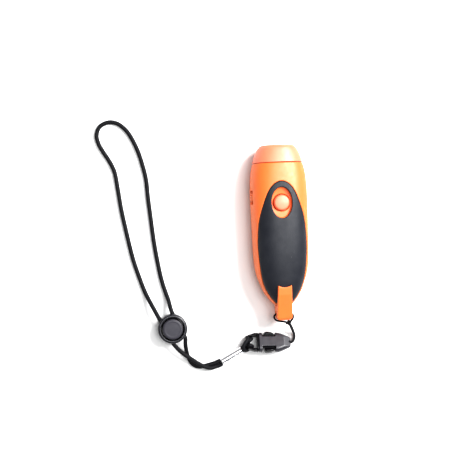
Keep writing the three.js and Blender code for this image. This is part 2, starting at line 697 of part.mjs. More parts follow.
function buckleSocket() {
  const half = [
    [MOUTH_U, 6.5], [8.4, 6.7], [19.5, 6.6], [21.8, 5.95], [SOCKET_END_U - 0.4, 3.4],
    [SOCKET_END_U, 2.9],
  ];
  const mirrored = half.map(([u, v]) => [u, -v]).reverse();
  let solid = prism(outline([...mirrored, ...half]), -BUCKLE_HALF, BUCKLE_HALF);
  solid = solid.intersect(shoulders(MOUTH_U - 1, SOCKET_END_U + 1, 6.7));
  const throat = outline([
    [MOUTH_U - 1, -5.25], [18.4, -5.25], [20.6, -4], [20.6, 4], [18.4, 5.25], [MOUTH_U - 1, 5.25],
  ]);
  solid = solid.subtract(prism(throat, -THROAT_HALF, THROAT_HALF));
  const window = box([WINDOW_U[0], WINDOW_V, -SPACE], [WINDOW_U[1], SPACE, SPACE]);
  solid = cut(solid, window, window.mirror([0, 1, 0]));
  const bore = union(
    rod([20, 0, 0.67], [30, 0, 0.67], 0.95, 12),
    rod([20, 0, -0.67], [30, 0, -0.67], 0.95, 12),
    box([20, -0.95, -0.67], [30, 0.95, 0.67]),
  );
  solid = solid.subtract(bore);
  const facet = outline([[23.3, BUCKLE_HALF], [29, 0.95], [29, 6], [23.3, 6]]);
  const acrossU = new THREE.Matrix4().makeBasis(
    new THREE.Vector3(1, 0, 0), new THREE.Vector3(0, 0, 1), new THREE.Vector3(0, -1, 0));
  const wedge = new THREE.ExtrudeGeometry(facet, { depth: 20, bevelEnabled: false });
  const upper = solidOf(place(wedge, acrossU)).translate([0, 10, 0]);
  return cut(solid, upper, upper.mirror([0, 0, 1]));
}

const FLANGE_U = [5.1, 6.6];
const FLANGE_HALF_WIDTH = 6.5;
const BAR_RADIUS = 0.75;
const RAIL_HALF = 1.6;           // half the height of the rails and prongs
const PLUG_RAIL = [
  [FLANGE_U[0] + 0.2, 6.3], [3.4, 6.3], [1.4, 5.5], [-0.75, 4.8], [-0.75, 3.75], [0.9, 3.75],
  [2.6, 4.2], [FLANGE_U[0] + 0.2, 4.2],
];
function bucklePlug() {
  const flange = shoulders(FLANGE_U[0], FLANGE_U[1], FLANGE_HALF_WIDTH);
  const rail = prism(outline(PLUG_RAIL), -RAIL_HALF, RAIL_HALF);
  const bar = rod([0, -4.2, 0], [0, 4.2, 0], BAR_RADIUS, 16);
  return union(flange, rail, rail.mirror([0, 1, 0]), bar);
}

const PRONG_ARM = [
  [7, 2.9], [17, 2.9], [17.1, 3.4], [17.1, 4.3], [16.9, 5.2], [16.2, 6.2], [14.5, 6.7],
  [12, 6.85], [10.6, 6.6], [10.1, 5.9], [10.1, 4.9], [7, 4.9],
];
const PRONG_RIDGE = [[10.6, 5.4], [16.4, 5.4], [15.6, 6.2], [14.5, 6.8], [12, 7], [10.8, 6.7]];
function buckleProng(side) {
  const arm = prism(outline(PRONG_ARM), 0.1 - RAIL_HALF, RAIL_HALF - 0.1);
  const ridge = prism(outline(PRONG_RIDGE), -2.1, 2.1);
  const prong = union(arm, ridge);
  return side > 0 ? prong : prong.mirror([0, 1, 0]);
}

// ---------------------------------------------------------------- wrist cord

const FERRULE = { from: [-41.4, -84.4, 2.45], to: [-27.4, -77, 2.75] };
const FERRULE_OUTER = 2.4;
const FERRULE_INNER = 1.95;
const FERRULE_CORE = 1.6;

function ferruleAlong(distance) {
  const from = new THREE.Vector3(...FERRULE.from);
  const to = new THREE.Vector3(...FERRULE.to);
  const along = to.clone().sub(from).normalize();
  return (distance < 0 ? from : to).clone().addScaledVector(along, distance).toArray();
}

function ferrule() {
  const bore = rod(ferruleAlong(-1), ferruleAlong(1), FERRULE_INNER, 20);
  return rod(FERRULE.from, FERRULE.to, FERRULE_OUTER, 20).subtract(bore);
}

// Cow hitch round the buckle's bar, and the two crimped strands in the ferrule
const HITCH_RADIUS = 0.95;
const HITCH_RING = 1.9;
const HITCH_V = [-2.5, -0.85, 0.85, 2.5];
function cordHitch() {
  const rings = HITCH_V.map((v) => {
    const torus = new THREE.TorusGeometry(HITCH_RING, HITCH_RADIUS, 6, 10);
    return solidOf(torus.rotateX(Math.PI / 2).translate(0, v, 0));
  });
  const bight = rod([-2.6, -3.1, 1.4], [-1.9, 2.5, 1.4], HITCH_RADIUS, 8);
  const wraps = inBuckle(union(...rings, bight));
  const core = rod(FERRULE.from, ferruleAlong(0.4), FERRULE_CORE, 12);
  const end = ferruleAlong(0.2);
  const strands = [-1, 1].map((side) => rod(
    [BUCKLE_BAR[0] - 1.6, BUCKLE_BAR[1] + 1.2 * side, 4.8 - 0.6 * side],
    [end[0] - 0.5 * side, end[1] + 0.8 * side, end[2]], HITCH_RADIUS, 8));
  return union(wraps, core, ...strands);
}

// From the ferrule, under its partner, through the lock, round the wrist loop,
// back through the lock and over its partner to the ferrule again.
const WRIST_ROUTE = [
  [-42.35, -83.45, 2.3], [-44.2, -84.1, 2], [-46.8, -84.8, 1.6], [-49.9, -85.8, 1.35],
  [-52.8, -86.6, 1.35], [-55.6, -86.9, 1.35], [-58.4, -86.4, 1.35], [-60.9, -84.6, 1.35],
  [-62.7, -81.7, 1.35], [-63.9, -78.5, 1.5], [-64.5, -75.2, 3.2], [-64.8, -72.4, 4.7],
  [-64.75, -69.82, 5.6], [-65.01, -66.8, 6.15], [-67.18, -62.29, 6.2], [-69.2, -57.93, 6.2],
  [-71.23, -53.58, 6.2], [-73.07, -49.47, 6.1], [-74.01, -46.24, 5.1], [-75, -41.5, 3.2],
  [-77, -35, 1.7], [-78.8, -28.5, 1.35], [-81.3, -14.1, 1.35],
  [-83, -1.3, 1.35], [-84.4, 14, 1.35], [-85.6, 27.6, 1.35], [-86.4, 39.5, 1.35],
  [-88.7, 50.4, 1.35], [-91.6, 59.9, 1.35], [-96.7, 70.2, 1.35], [-100.4, 74.5, 1.35],
  [-104.3, 77.1, 1.35], [-109.6, 77.9, 1.35], [-115.3, 75.2, 1.35], [-117.6, 69.6, 1.35],
  [-116.5, 63.7, 1.35], [-114, 58.8, 1.35], [-110.9, 53.7, 1.35], [-108.2, 48.5, 1.35],
  [-106.7, 44, 1.35], [-105.2, 33.4, 1.35], [-103.6, 20.7, 1.35], [-100.9, 5.4, 1.35],
  [-97.1, -13.4, 1.35], [-93.6, -25.4, 1.35], [-90.4, -34.9, 1.8], [-86.9, -42.6, 4.4],
  [-83.72, -49, 6.1], [-81.47, -53.58, 6.2], [-77.15, -62.04, 6.2], [-72.98, -70.02, 6.2],
  [-71.8, -71.8, 6], [-69.4, -74.6, 5.6], [-66.6, -77.2, 5.2], [-63.3, -79.8, 4.7],
  [-59.5, -82.6, 4.3], [-55.9, -85.1, 4.2], [-52.4, -86.9, 4.1], [-48.7, -88.2, 2.7],
  [-45.3, -87.7, 1.8], [-42.9, -86.75, 2], [-41.45, -86.05, 2.2],
];
function wristCord() {
  return tube(WRIST_ROUTE, CORD_RADIUS, 80);
}

// ---------------------------------------------------------------- cord lock

const LOCK_PLACE = [-73.2, -60];
const LOCK_TURN = 0.477;         // from +Y to the way the cords run, towards the loop
const LOCK_FOOT_Z = 0.05;
const LOCK_OUTER = 9.6;
const LOCK_INNER = 7.6;
const LOCK_CORD_X = 4.5;
const LOCK_CORD_Z = 6.2;
const LOCK_TRAVEL = 2.1;

function inLock(solid) {
  const turn = new THREE.Matrix4().makeRotationZ(LOCK_TURN);
  turn.setPosition(LOCK_PLACE[0], LOCK_PLACE[1], 0);
  return solid.transform(turn.elements);
}

function lockBody() {
  let solid = turned([
    [0, LOCK_FOOT_Z], [LOCK_OUTER - 1.4, LOCK_FOOT_Z], [LOCK_OUTER - 0.3, 1], [LOCK_OUTER, 3], [LOCK_OUTER, 7.6],
    [LOCK_OUTER - 0.4, 9.6], [LOCK_OUTER - 1.2, 10.4], [LOCK_INNER + 0.3, 10.2],
    [LOCK_INNER, 9.6], [LOCK_INNER, 1.2], [0, 1.2],
  ], 0, 0, 0, 28);
  for (const x of [-LOCK_CORD_X, LOCK_CORD_X]) {
    solid = solid.subtract(rod([x, -12, LOCK_CORD_Z], [x, 12, LOCK_CORD_Z], CORD_RADIUS + 0.7, 12));
  }
  return inLock(solid);
}

function lockPlunger() {
  const bottom = 3.6;
  const radius = LOCK_INNER - 0.9;
  let solid = turned([
    [0, bottom], [radius, bottom], [radius, 11.2], [radius - 0.5, 11.9], [radius - 2.6, 12.3],
    [0, 12.5],
  ], 0, 0, 0, 28);
  for (const x of [-LOCK_CORD_X, LOCK_CORD_X]) {
    solid = solid.subtract(box(
      [x - CORD_RADIUS - 0.6, -9, LOCK_CORD_Z - CORD_RADIUS - GAP],
      [x + CORD_RADIUS + 0.6, 9, LOCK_CORD_Z + CORD_RADIUS + GAP + LOCK_TRAVEL],
    ));
  }
  return inLock(solid.subtract(rod([0, 0, 3], [0, 0, 8.6], 2.1, 16)));
}

function lockSpring() {
  return coil([...LOCK_PLACE, 1.8], [0, 0, 1], 1.45, 0.5, 6.3, 4);
}

// ---------------------------------------------------------------- assembly

const group = new THREE.Group();

function add(name, solid, material) {
  const mesh = new THREE.Mesh(geometryOf(solid), material);
  mesh.name = name;
  group.add(mesh);
}

add('front_shell', frontShell(), ORANGE);
add('back_shell', backShell(), ORANGE);
add('battery_door', batteryDoor(), ORANGE);
add('horn_cap', hornCap(), LIGHT_ORANGE);
add('horn_funnel', hornFunnel(), BLACK);
add('horn_grille', hornGrille(), BLACK);
add('driver_housing', driverHousing(), BLACK);
add('piezo_element', piezoElement(), BRASS);
add('grip_pad', gripPad(), CHARCOAL);
add('lanyard_loop', lanyardLoop(), ORANGE);

add('push_button', pushButton(), LIGHT_ORANGE);
add('switch_plunger', switchPlunger(), BLACK);
add('tact_switch', tactSwitch(), SWITCH_WHITE);
add('tone_slider', toneSlider(), ORANGE);
add('slide_switch', slideSwitch(), STEEL);

add('circuit_board', circuitBoard(), BOARD_GREEN);
add('control_chip', controlChip(), BLACK);
add('boost_coil', boostCoil(), BRASS);
add('capacitor', capacitor(), BLACK);

const nubFront = BAY_Y[1] - GAP - PLATE - GAP;
const nubRear = BAY_Y[0] + GAP + PLATE + GAP;
add('battery_cell_left', batteryCell(-CELL_X, 1, nubFront), CELL_BLUE);
add('battery_cell_right', batteryCell(CELL_X, -1, nubRear), CELL_BLUE);
add('contact_plate_front', contactPlate(-CELL_X, BAY_Y[1] - GAP - PLATE), STEEL);
add('contact_plate_rear', contactPlate(CELL_X, BAY_Y[0] + GAP), STEEL);
const springRoom = BAY_Y[1] - BAY_Y[0] - CELL_LENGTH - NUB_LENGTH - 2 * GAP - PLATE;
const springLength = springRoom - 1.2;
add('contact_spring_rear',
  coil([-CELL_X, BAY_Y[0] + 0.6, CELL_Z], [0, 1, 0], 2.8, 0.5, springLength, 3), STEEL);
add('contact_spring_front',
  coil([CELL_X, BAY_Y[1] - 0.6, CELL_Z], [0, -1, 0], 2.8, 0.5, springLength, 3), STEEL);

add('case_screw_left', caseScrew(SCREWS[0]), STEEL);
add('case_screw_right', caseScrew(SCREWS[1]), STEEL);
add('case_screw_tail', caseScrew(SCREWS[2]), STEEL);

add('strap_cord', strapCord(), BRAID);
add('buckle_socket', inBuckle(buckleSocket()), BUCKLE_GREY);
add('buckle_plug', inBuckle(bucklePlug()), BUCKLE_GREY);
add('buckle_prong_left', inBuckle(buckleProng(1)), BUCKLE_GREY);
add('buckle_prong_right', inBuckle(buckleProng(-1)), BUCKLE_GREY);
add('cord_hitch', cordHitch(), BRAID);
add('ferrule', ferrule(), CHROME);
add('wrist_cord', wristCord(), BRAID);
add('cord_lock_body', lockBody(), LOCK_GREY);
add('cord_lock_plunger', lockPlunger(), LOCK_GREY);
add('cord_lock_spring', lockSpring(), STEEL);

export default group;
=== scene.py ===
"""Looks of an electronic hand whistle with a grip pad, a push button and a wrist cord.

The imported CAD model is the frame. Shapes are worked out in millimetres as signed fields,
turned into meshes in metres, and ride on the CAD bodies.
"""

import math

import bpy
import numpy as np
from mathutils import Matrix, Vector


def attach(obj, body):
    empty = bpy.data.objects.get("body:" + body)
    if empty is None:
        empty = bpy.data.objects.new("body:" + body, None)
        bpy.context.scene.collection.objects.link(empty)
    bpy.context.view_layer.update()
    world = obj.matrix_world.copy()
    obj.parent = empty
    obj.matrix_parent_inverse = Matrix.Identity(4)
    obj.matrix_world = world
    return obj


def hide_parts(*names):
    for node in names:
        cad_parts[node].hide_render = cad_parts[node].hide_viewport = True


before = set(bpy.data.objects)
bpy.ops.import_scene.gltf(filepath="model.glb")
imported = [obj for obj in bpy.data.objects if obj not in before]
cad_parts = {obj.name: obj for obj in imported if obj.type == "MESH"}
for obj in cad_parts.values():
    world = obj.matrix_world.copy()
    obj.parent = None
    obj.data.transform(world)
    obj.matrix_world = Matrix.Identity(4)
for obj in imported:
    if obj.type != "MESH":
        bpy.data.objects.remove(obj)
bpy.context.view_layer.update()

MM = 0.001
# Between the edges of neighbouring parts
GAP = 0.3

# ---------- camera

CAMERA_PLACE = Vector((-91.65, 5.91, 600)) * MM
CAMERA_AIM = Vector((-31.71, 3.36, 0)) * MM
CAMERA_UP = Vector((0.0425, 0.9991, 0))
FOCAL_LENGTH = 70.27
SENSOR_WIDTH = 36


def in_scene(name, data):
    """A new object with that data, linked into the scene."""
    item = bpy.data.objects.new(name, data)
    bpy.context.scene.collection.objects.link(item)
    return item


def make_camera():
    data = bpy.data.cameras.new("camera")
    data.lens = FOCAL_LENGTH
    data.sensor_width = SENSOR_WIDTH
    data.clip_start = 0.01
    data.clip_end = 20
    camera = in_scene("camera", data)
    back = (CAMERA_PLACE - CAMERA_AIM).normalized()
    right = CAMERA_UP.cross(back).normalized()
    up = back.cross(right)
    turn = Matrix((right, up, back)).transposed()
    camera.matrix_world = Matrix.Translation(CAMERA_PLACE) @ turn.to_4x4()
    bpy.context.scene.camera = camera


make_camera()

# ---------- meshes


def mesh_object(name, points, faces, material):
    """A smooth mesh object from points in millimetres and lists of corners."""
    mesh = bpy.data.meshes.new(name)
    mesh.from_pydata((points * MM).tolist(), [], faces)
    mesh.shade_smooth()
    mesh.materials.append(material)
    return in_scene(name, mesh)


def new_piece(name, points, faces, body, material, slot, replaced):
    """A visual piece on a body, in place of a CAD node."""
    piece = mesh_object(name, points, faces.tolist(), material)
    piece.data.validate()
    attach(piece, body)
    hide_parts(replaced)


def field_slope(field, points, reach):
    """Gradient of the field at the points, by central differences."""
    slope = np.empty_like(points)
    for axis in range(3):
        ahead = points.copy()
        behind = points.copy()
        ahead[:, axis] += reach
        behind[:, axis] -= reach
        slope[:, axis] = (field(*ahead.T) - field(*behind.T)) / (2 * reach)
    return slope


def neighbour_mean(points, faces):
    """The mean of each point's neighbours along the quads' sides."""
    total = np.zeros_like(points)
    for side in range(4):
        for other in (faces[:, side - 1], faces[:, (side + 1) % 4]):
            for axis in range(3):
                total[:, axis] += np.bincount(
                    faces[:, side], points[other, axis], minlength=len(points))
    return total / (2 * np.bincount(faces.ravel(), minlength=len(points)))[:, None]


def surface(field, low, high, step):
    """Points and quads of the surface where field is zero, inside a box.

    A point for each crossed cell, a quad for each crossed grid edge; then the points are
    evened out and moved back onto the surface, twice.
    """
    counts = [int(math.ceil((b - a) / step)) + 3 for a, b in zip(low, high)]
    axes = [a - step + step * np.arange(n) for a, n in zip(low, counts)]
    grid = np.broadcast_to(field(*np.ix_(*axes)), counts).astype(np.float32)
    inside = grid < 0
    cells = [n - 1 for n in counts]
    total = np.zeros((*cells, 3), np.float32)
    hits = np.zeros(cells, np.float32)
    found = []
    for axis in range(3):
        near = [slice(None)] * 3
        far = [slice(None)] * 3
        near[axis] = slice(None, -1)
        far[axis] = slice(1, None)
        near, far = tuple(near), tuple(far)
        crossing = np.argwhere(inside[near] != inside[far])
        end = crossing.copy()
        end[:, axis] += 1
        a = grid[tuple(crossing.T)]
        b = grid[tuple(end.T)]
        place = crossing.astype(np.float32)
        place[:, axis] += a / (a - b)
        others = [k for k in range(3) if k != axis]
        ring = []
        for shift in ((-1, -1), (0, -1), (0, 0), (-1, 0)):
            cell = crossing.copy()
            cell[:, others[0]] += shift[0]
            cell[:, others[1]] += shift[1]
            np.add.at(total, tuple(cell.T), place)
            np.add.at(hits, tuple(cell.T), 1)
            ring.append(np.ravel_multi_index(cell.T, cells))
        quads = np.stack(ring, axis=1)
        turned = (a < 0) if axis != 1 else (a > 0)
        quads[~turned] = quads[~turned][:, ::-1]
        found.append(quads)
    used = np.flatnonzero(hits.ravel())
    number = np.full(hits.size, -1)
    number[used] = np.arange(len(used))
    points = total.reshape(-1, 3)[used] / hits.ravel()[used][:, None]
    points = points.astype(float) * step + [axis[0] for axis in axes]
    faces = number[np.concatenate(found)]
    limit = step / 2
    for _ in range(2):
        points += (neighbour_mean(points, faces) - points) / 2
        slope = field_slope(field, points, step / 4)
        steepness = np.maximum((slope**2).sum(1), 0.05)
        move = -field(*points.T) / steepness
        points += slope * np.clip(move, -limit, limit)[:, None]
    return points, faces


def solid(name, field, low, high, step, body, material, slot, replaced):
    new_piece(name, *surface(field, low, high, step), body, material, slot, replaced)


# ---------- fields


def round_and(a, b, radius):
    """Where both fields hold, with the edge rounded off."""
    corner = np.hypot(np.maximum(radius + a, 0), np.maximum(radius + b, 0))
    return np.minimum(-radius, np.maximum(a, b)) + corner


def round_or(a, b, radius):
    """Where either field holds, with a fillet between them."""
    corner = np.hypot(np.maximum(radius - a, 0), np.maximum(radius - b, 0))
    return np.maximum(radius, np.minimum(a, b)) - corner


def without(a, b, radius):
    """The first field with the second cut out of it, the rim rounded off."""
    return round_and(a, -b, radius)


def slab(plan, z, half, edge):
    """The plan's field, made into a plate of that half thickness."""
    return round_and(plan, np.abs(z) - half, edge)


def box_field(x, y, z, low, high, radius):
    """A box with rounded edges between two corners."""
    place = (x, y, z)
    over = [
        np.abs(place[k] - (low[k] + high[k]) / 2) - (high[k] - low[k]) / 2 + radius
        for k in range(3)
    ]
    outside = np.sqrt(sum(np.maximum(d, 0) ** 2 for d in over))
    inside = np.minimum(np.maximum(np.maximum(over[0], over[1]), over[2]), 0)
    return outside + inside - radius


def rod_field(across_a, across_b, along, radius, low, high, edge=0.2):
    """A round bar; the first two are measured from its axis."""
    side = np.hypot(across_a, across_b) - radius
    ends = np.maximum(low - along, along - high)
    return round_and(side, ends, edge)


def oval_field(x, y, half_x, half_y):
    """Distance from an ellipse in plan, close to true near its edge."""
    reach = np.sqrt((x / half_x) ** 2 + (y / half_y) ** 2)
    slope = np.sqrt((x / half_x**2) ** 2 + (y / half_y**2) ** 2)
    return (reach - 1) * reach / np.maximum(slope, 1e-6)


def with_end_points(points):
    """The points, and one more beyond each end, for a curve that starts at the first."""
    return np.vstack([2 * points[0] - points[1], points, 2 * points[-1] - points[-2]])


def curve_through(points, per_span):
    """Points along a Catmull-Rom curve with even knots."""
    padded = with_end_points(points)
    t = (np.arange(per_span) / per_span)[:, None]
    spans = []
    for a, b, c, d in zip(padded, padded[1:], padded[2:], padded[3:]):
        spans.append(
            0.5 * (2 * b + (c - a) * t + (2 * a - 5 * b + 4 * c - d) * t**2
                   + (3 * b - a - 3 * c + d) * t**3)
        )
    return np.vstack([*spans, points[-1:]])


class Outline:
    """Signed distance from a closed outline in plan, kept on a raster."""

    CELL = 0.25
    MARGIN = 6.0

    def __init__(self, points):
        points = np.asarray(points, float)
        self.low = points.min(0) - self.MARGIN
        high = points.max(0) + self.MARGIN
        counts = np.ceil((high - self.low) / self.CELL).astype(int) + 1
        xs, ys = (self.low[k] + self.CELL * np.arange(counts[k]) for k in range(2))
        x, y = np.meshgrid(xs, ys, indexing="ij")
        nearest = np.full(x.shape, np.inf)
        inside = np.zeros(x.shape, bool)
        for (ax, ay), (bx, by) in zip(points, np.roll(points, -1, axis=0)):
            dx, dy = bx - ax, by - ay
            t = np.clip(((x - ax) * dx + (y - ay) * dy) / max(dx * dx + dy * dy, 1e-12), 0, 1)
            nearest = np.minimum(nearest, np.hypot(x - ax - t * dx, y - ay - t * dy))
            if ay != by:
                crosses = ((ay > y) != (by > y)) & (x < dx * (y - ay) / dy + ax)
                inside ^= crosses
        self.values = np.where(inside, -nearest, nearest)

    def __call__(self, x, y):
        x, y = np.broadcast_arrays(x, y)
        u = np.clip((x - self.low[0]) / self.CELL, 0, self.values.shape[0] - 1.001)
        v = np.clip((y - self.low[1]) / self.CELL, 0, self.values.shape[1] - 1.001)
        i, j = u.astype(int), v.astype(int)
        u, v = u - i, v - j
        grid = self.values
        return (
            grid[i, j] * (1 - u) * (1 - v) + grid[i + 1, j] * u * (1 - v)
            + grid[i, j + 1] * (1 - u) * v + grid[i + 1, j + 1] * u * v
        )


# ---------- case shape

MOUTH_Y = 57.5
SEAM_Y = 46.0
TAIL_Y = -47.2
TIP_Y = -57.5
WALL = 2.4
PARTING_Z = 13.5
AXIS_Z = 13.7
TOP_POWER = 2.4
BOTTOM_POWER = 2.8
REST_EDGE = 0.6
# y, half width, top z, bottom z
STATIONS = np.array([
    (-47.2, 5.7, 21.2, 5.6), (-43, 9.4, 22.4, 3.4), (-38, 12.6, 23.6, 1.6), (-32, 15, 24.9, 0.2),
    (-26, 16.9, 25.9, -0.4), (-20, 17.8, 26.7, -0.6), (-12, 18.3, 27.4, -0.7),
    (0, 18.45, 27.9, -0.7), (16, 18.7, 28, -0.7), (30, 18.65, 27.9, -0.5), (40, 17.8, 27.4, 0),
    (46, 16.4, 26.8, 0.6), (51.5, 14.8, 25.9, 1.5), (55.4, 12.9, 25, 2.4), (57.5, 11.3, 24.2, 3.2),
])


def station(y, column):
    """Smooth value of one column of STATIONS at any y."""
    knots = STATIONS[:, 0]
    values = STATIONS[:, column]
    secant = np.diff(values) / np.diff(knots)
    slopes = np.concatenate([secant[:1], (secant[1:] + secant[:-1]) / 2, secant[-1:]])
    i = np.clip(np.searchsorted(knots, y) - 1, 0, len(knots) - 2)
    span = knots[i + 1] - knots[i]
    t = (y - knots[i]) / span
    return (
        (2 * t**3 - 3 * t**2 + 1) * values[i] + (t**3 - 2 * t**2 + t) * span * slopes[i]
        + (3 * t**2 - 2 * t**3) * values[i + 1] + (t**3 - t**2) * span * slopes[i + 1]
    )


def case_field(x, y, z, grow=0.0):
    """Distance from the case's surface, below zero inside."""
    half_width = station(y, 1) + grow
    top = station(y, 2) + grow
    bottom = station(y, 3) - grow
    middle = (top + bottom) / 2
    half = (top - bottom) / 2
    across = np.abs(x) / half_width
    up = (z - middle) / half
    power = np.where(up > 0, TOP_POWER, BOTTOM_POWER)
    reach = (across**power + np.abs(up) ** power) ** (1 / power)
    radius = np.sqrt(x**2 + (z - middle) ** 2)
    side = (reach - 1) * radius / np.maximum(reach, 1e-6)
    return round_and(side, -grow - z, REST_EDGE)


# ---------- materials


class Finish:
    """A procedural material, built up round one Principled shader."""

    def __init__(self, name, color, roughness, metallic=0.0, **values):
        self.material = bpy.data.materials.new(name)
        self.material.use_nodes = True
        self.tree = self.material.node_tree
        self.shader = self.tree.nodes["Principled BSDF"]
        self.shader.inputs["Base Color"].default_value = (*color, 1)
        self.shader.inputs["Roughness"].default_value = roughness
        self.shader.inputs["Metallic"].default_value = metallic
        for key, value in values.items():
            self.shader.inputs[key.replace("_", " ")].default_value = value
        self.place = self.tree.nodes.new("ShaderNodeTexCoord").outputs["Object"]
        self.normal = None

    def feed(self, socket, value):
        """Link the value to the socket, or set it there when it is a constant."""
        if isinstance(value, bpy.types.NodeSocket):
            self.tree.links.new(value, socket)
        else:
            socket.default_value = value

    def noise(self, size, detail):
        """Noise from 0 to 1 with grains of about that size in millimetres."""
        noise = self.tree.nodes.new("ShaderNodeTexNoise")
        noise.inputs["Scale"].default_value = 1 / (size * MM)
        noise.inputs["Detail"].default_value = detail
        self.feed(noise.inputs["Vector"], self.place)
        return noise.outputs["Fac"]

    def grains(self, size):
        """Cell pattern from 0 to 1, dark at the middle of each grain."""
        cells = self.tree.nodes.new("ShaderNodeTexVoronoi")
        cells.inputs["Scale"].default_value = 1 / (size * MM)
        self.feed(cells.inputs["Vector"], self.place)
        return cells.outputs["Distance"]

    def spread(self, value, low, high, out_low=0.0, out_high=1.0):
        """The value's range from low to high, drawn out to another range."""
        spread = self.tree.nodes.new("ShaderNodeMapRange")
        for socket, number in zip(spread.inputs[:5], (value, low, high, out_low, out_high)):
            self.feed(socket, number)
        return spread.outputs["Result"]

    def blend(self, factor, first, second):
        """The first color where the factor is 0, the second where it is 1."""
        mix = self.tree.nodes.new("ShaderNodeMix")
        mix.data_type = "RGBA"
        self.feed(mix.inputs["Factor"], factor)
        for name, color in (("A", first), ("B", second)):
            socket = [s for s in mix.inputs if s.name == name and s.type == "RGBA"][0]
            self.feed(socket, color if isinstance(color, bpy.types.NodeSocket) else (*color, 1))
        return [s for s in mix.outputs if s.type == "RGBA"][0]

    def edges(self, low=0.58, high=0.68):
        """From 0 on flat surfaces to 1 on sharp outer edges."""
        shape = self.tree.nodes.new("ShaderNodeNewGeometry")
        return self.spread(shape.outputs["Pointiness"], low, high)

    def attribute(self, name):
        """The mesh attribute of that name."""
        node = self.tree.nodes.new("ShaderNodeAttribute")
        node.attribute_name = name
        return node.outputs["Fac"]

    def color(self, socket):
        self.feed(self.shader.inputs["Base Color"], socket)

    def rough(self, socket):
        self.feed(self.shader.inputs["Roughness"], socket)

    def bump(self, height, depth):
        """Relief of that depth in millimetres; a second call adds to the first."""
        bump = self.tree.nodes.new("ShaderNodeBump")
        bump.inputs["Strength"].default_value = 1.0
        bump.inputs["Distance"].default_value = depth * MM
        self.feed(bump.inputs["Height"], height)
        if self.normal is not None:
            self.feed(bump.inputs["Normal"], self.normal)
        self.normal = bump.outputs["Normal"]
        self.feed(self.shader.inputs["Normal"], self.normal)


def moulded(name, color, worn, roughness, depth=0.012, **values):
    """Moulded plastic: fine grain, slow colour and gloss changes, worn edges."""
    finish = Finish(name, color, roughness, **values)
    darker = tuple(c * 0.94 for c in color)
    mottle = finish.spread(finish.noise(7.0, 2), 0.3, 0.7)
    ground = finish.blend(mottle, darker, color)
    finish.color(finish.blend(finish.edges(), ground, worn))
    gloss = finish.noise(2.5, 4)
    finish.rough(finish.spread(gloss, 0.3, 0.7, roughness - 0.05, roughness + 0.06))
    grain = finish.noise(0.22, 2)
    waviness = finish.noise(12.0, 1)
    finish.bump(grain, depth)
    finish.bump(waviness, depth * 4)
    return finish.material


def soft_grip():
    """Soft-touch rubber skin: pebbled grain, faint rubbed patches."""
    color = (0.009, 0.0108, 0.0175)
    rubbed = (0.016, 0.018, 0.025)
    worn = (0.035, 0.037, 0.045)
    finish = Finish("soft_grip_skin", color, 0.5, Sheen_Weight=0.03, Sheen_Roughness=0.5,
                    Specular_IOR_Level=0.42)
    patches = finish.spread(finish.noise(9.0, 4), 0.42, 0.72)
    ground = finish.blend(patches, color, rubbed)
    finish.color(finish.blend(finish.edges(0.57, 0.66), ground, worn))
    finish.rough(finish.spread(finish.noise(3.0, 5), 0.3, 0.7, 0.4, 0.52))
    finish.bump(finish.grains(0.38), 0.03)
    finish.bump(finish.noise(0.16, 2), 0.01)
    return finish.material


def metal(name, color, roughness):
    """Plated metal with fine marks and dull patches."""
    finish = Finish(name, color, roughness, 1.0)
    darker = tuple(c * 0.82 for c in color)
    dull = finish.spread(finish.noise(1.8, 5), 0.35, 0.7)
    finish.color(finish.blend(dull, color, darker))
    marks = finish.noise(0.3, 3)
    finish.rough(finish.spread(marks, 0.25, 0.75, roughness * 0.7, roughness * 1.5))
    finish.bump(marks, 0.004)
    return finish.material


def braid():
    """Braided polyester: painted shade between the strands and a painted highlight along their
    crests.
    """
    gap_shaded_yarn = (0.0015, 0.0015, 0.002)
    crest_highlight = (0.014, 0.014, 0.018)
    finish = Finish("braided_polyester", gap_shaded_yarn, 0.62, Specular_IOR_Level=0.2)
    relief = finish.attribute("strand")
    uneven = finish.spread(finish.noise(1.6, 3), 0.3, 0.7, 0.75, 1.0)
    scaled = finish.tree.nodes.new("ShaderNodeMath")
    scaled.operation = "MULTIPLY"
    finish.feed(scaled.inputs[0], relief)
    finish.feed(scaled.inputs[1], uneven)
    # Colour by the weave's height: painted shade in the gaps, painted highlight on the crests.
    finish.color(finish.blend(scaled.outputs[0], gap_shaded_yarn, crest_highlight))
    finish.rough(finish.spread(finish.noise(0.3, 3), 0.3, 0.7, 0.5, 0.75))
    finish.bump(finish.noise(0.09, 3), 0.02)
    return finish.material


def circuit_green():
    """Solder resist, lighter and raised where a copper track runs under it."""
    board = (0.012, 0.11, 0.035)
    finish = Finish("solder_resist", board, 0.35, Coat_Weight=0.3)
    tracks = finish.tree.nodes.new("ShaderNodeTexBrick")
    tracks.inputs["Scale"].default_value = 260
    colors = {"Color1": board, "Color2": (0.016, 0.15, 0.05), "Mortar": (0.02, 0.2, 0.07)}
    for name, color in colors.items():
        tracks.inputs[name].default_value = (*color, 1)
    finish.feed(tracks.inputs["Vector"], finish.place)
    finish.color(tracks.outputs["Color"])
    finish.bump(tracks.outputs["Fac"], 0.03)
    return finish.material


def copper_winding():
    """Turns of lacquered wire, with painted shade in the grooves between them."""
    finish = Finish("copper_winding", (0.55, 0.22, 0.07), 0.3, 1.0)
    turns = finish.tree.nodes.new("ShaderNodeTexWave")
    turns.bands_direction = "Z"
    turns.inputs["Scale"].default_value = 900
    turns.inputs["Distortion"].default_value = 0.4
    finish.feed(turns.inputs["Vector"], finish.place)
    # The dark end of the blend paints shade into the grooves between turns.
    finish.color(finish.blend(turns.outputs["Fac"], (0.25, 0.08, 0.02), (0.65, 0.28, 0.1)))
    finish.bump(turns.outputs["Fac"], 0.08)
    return finish.material


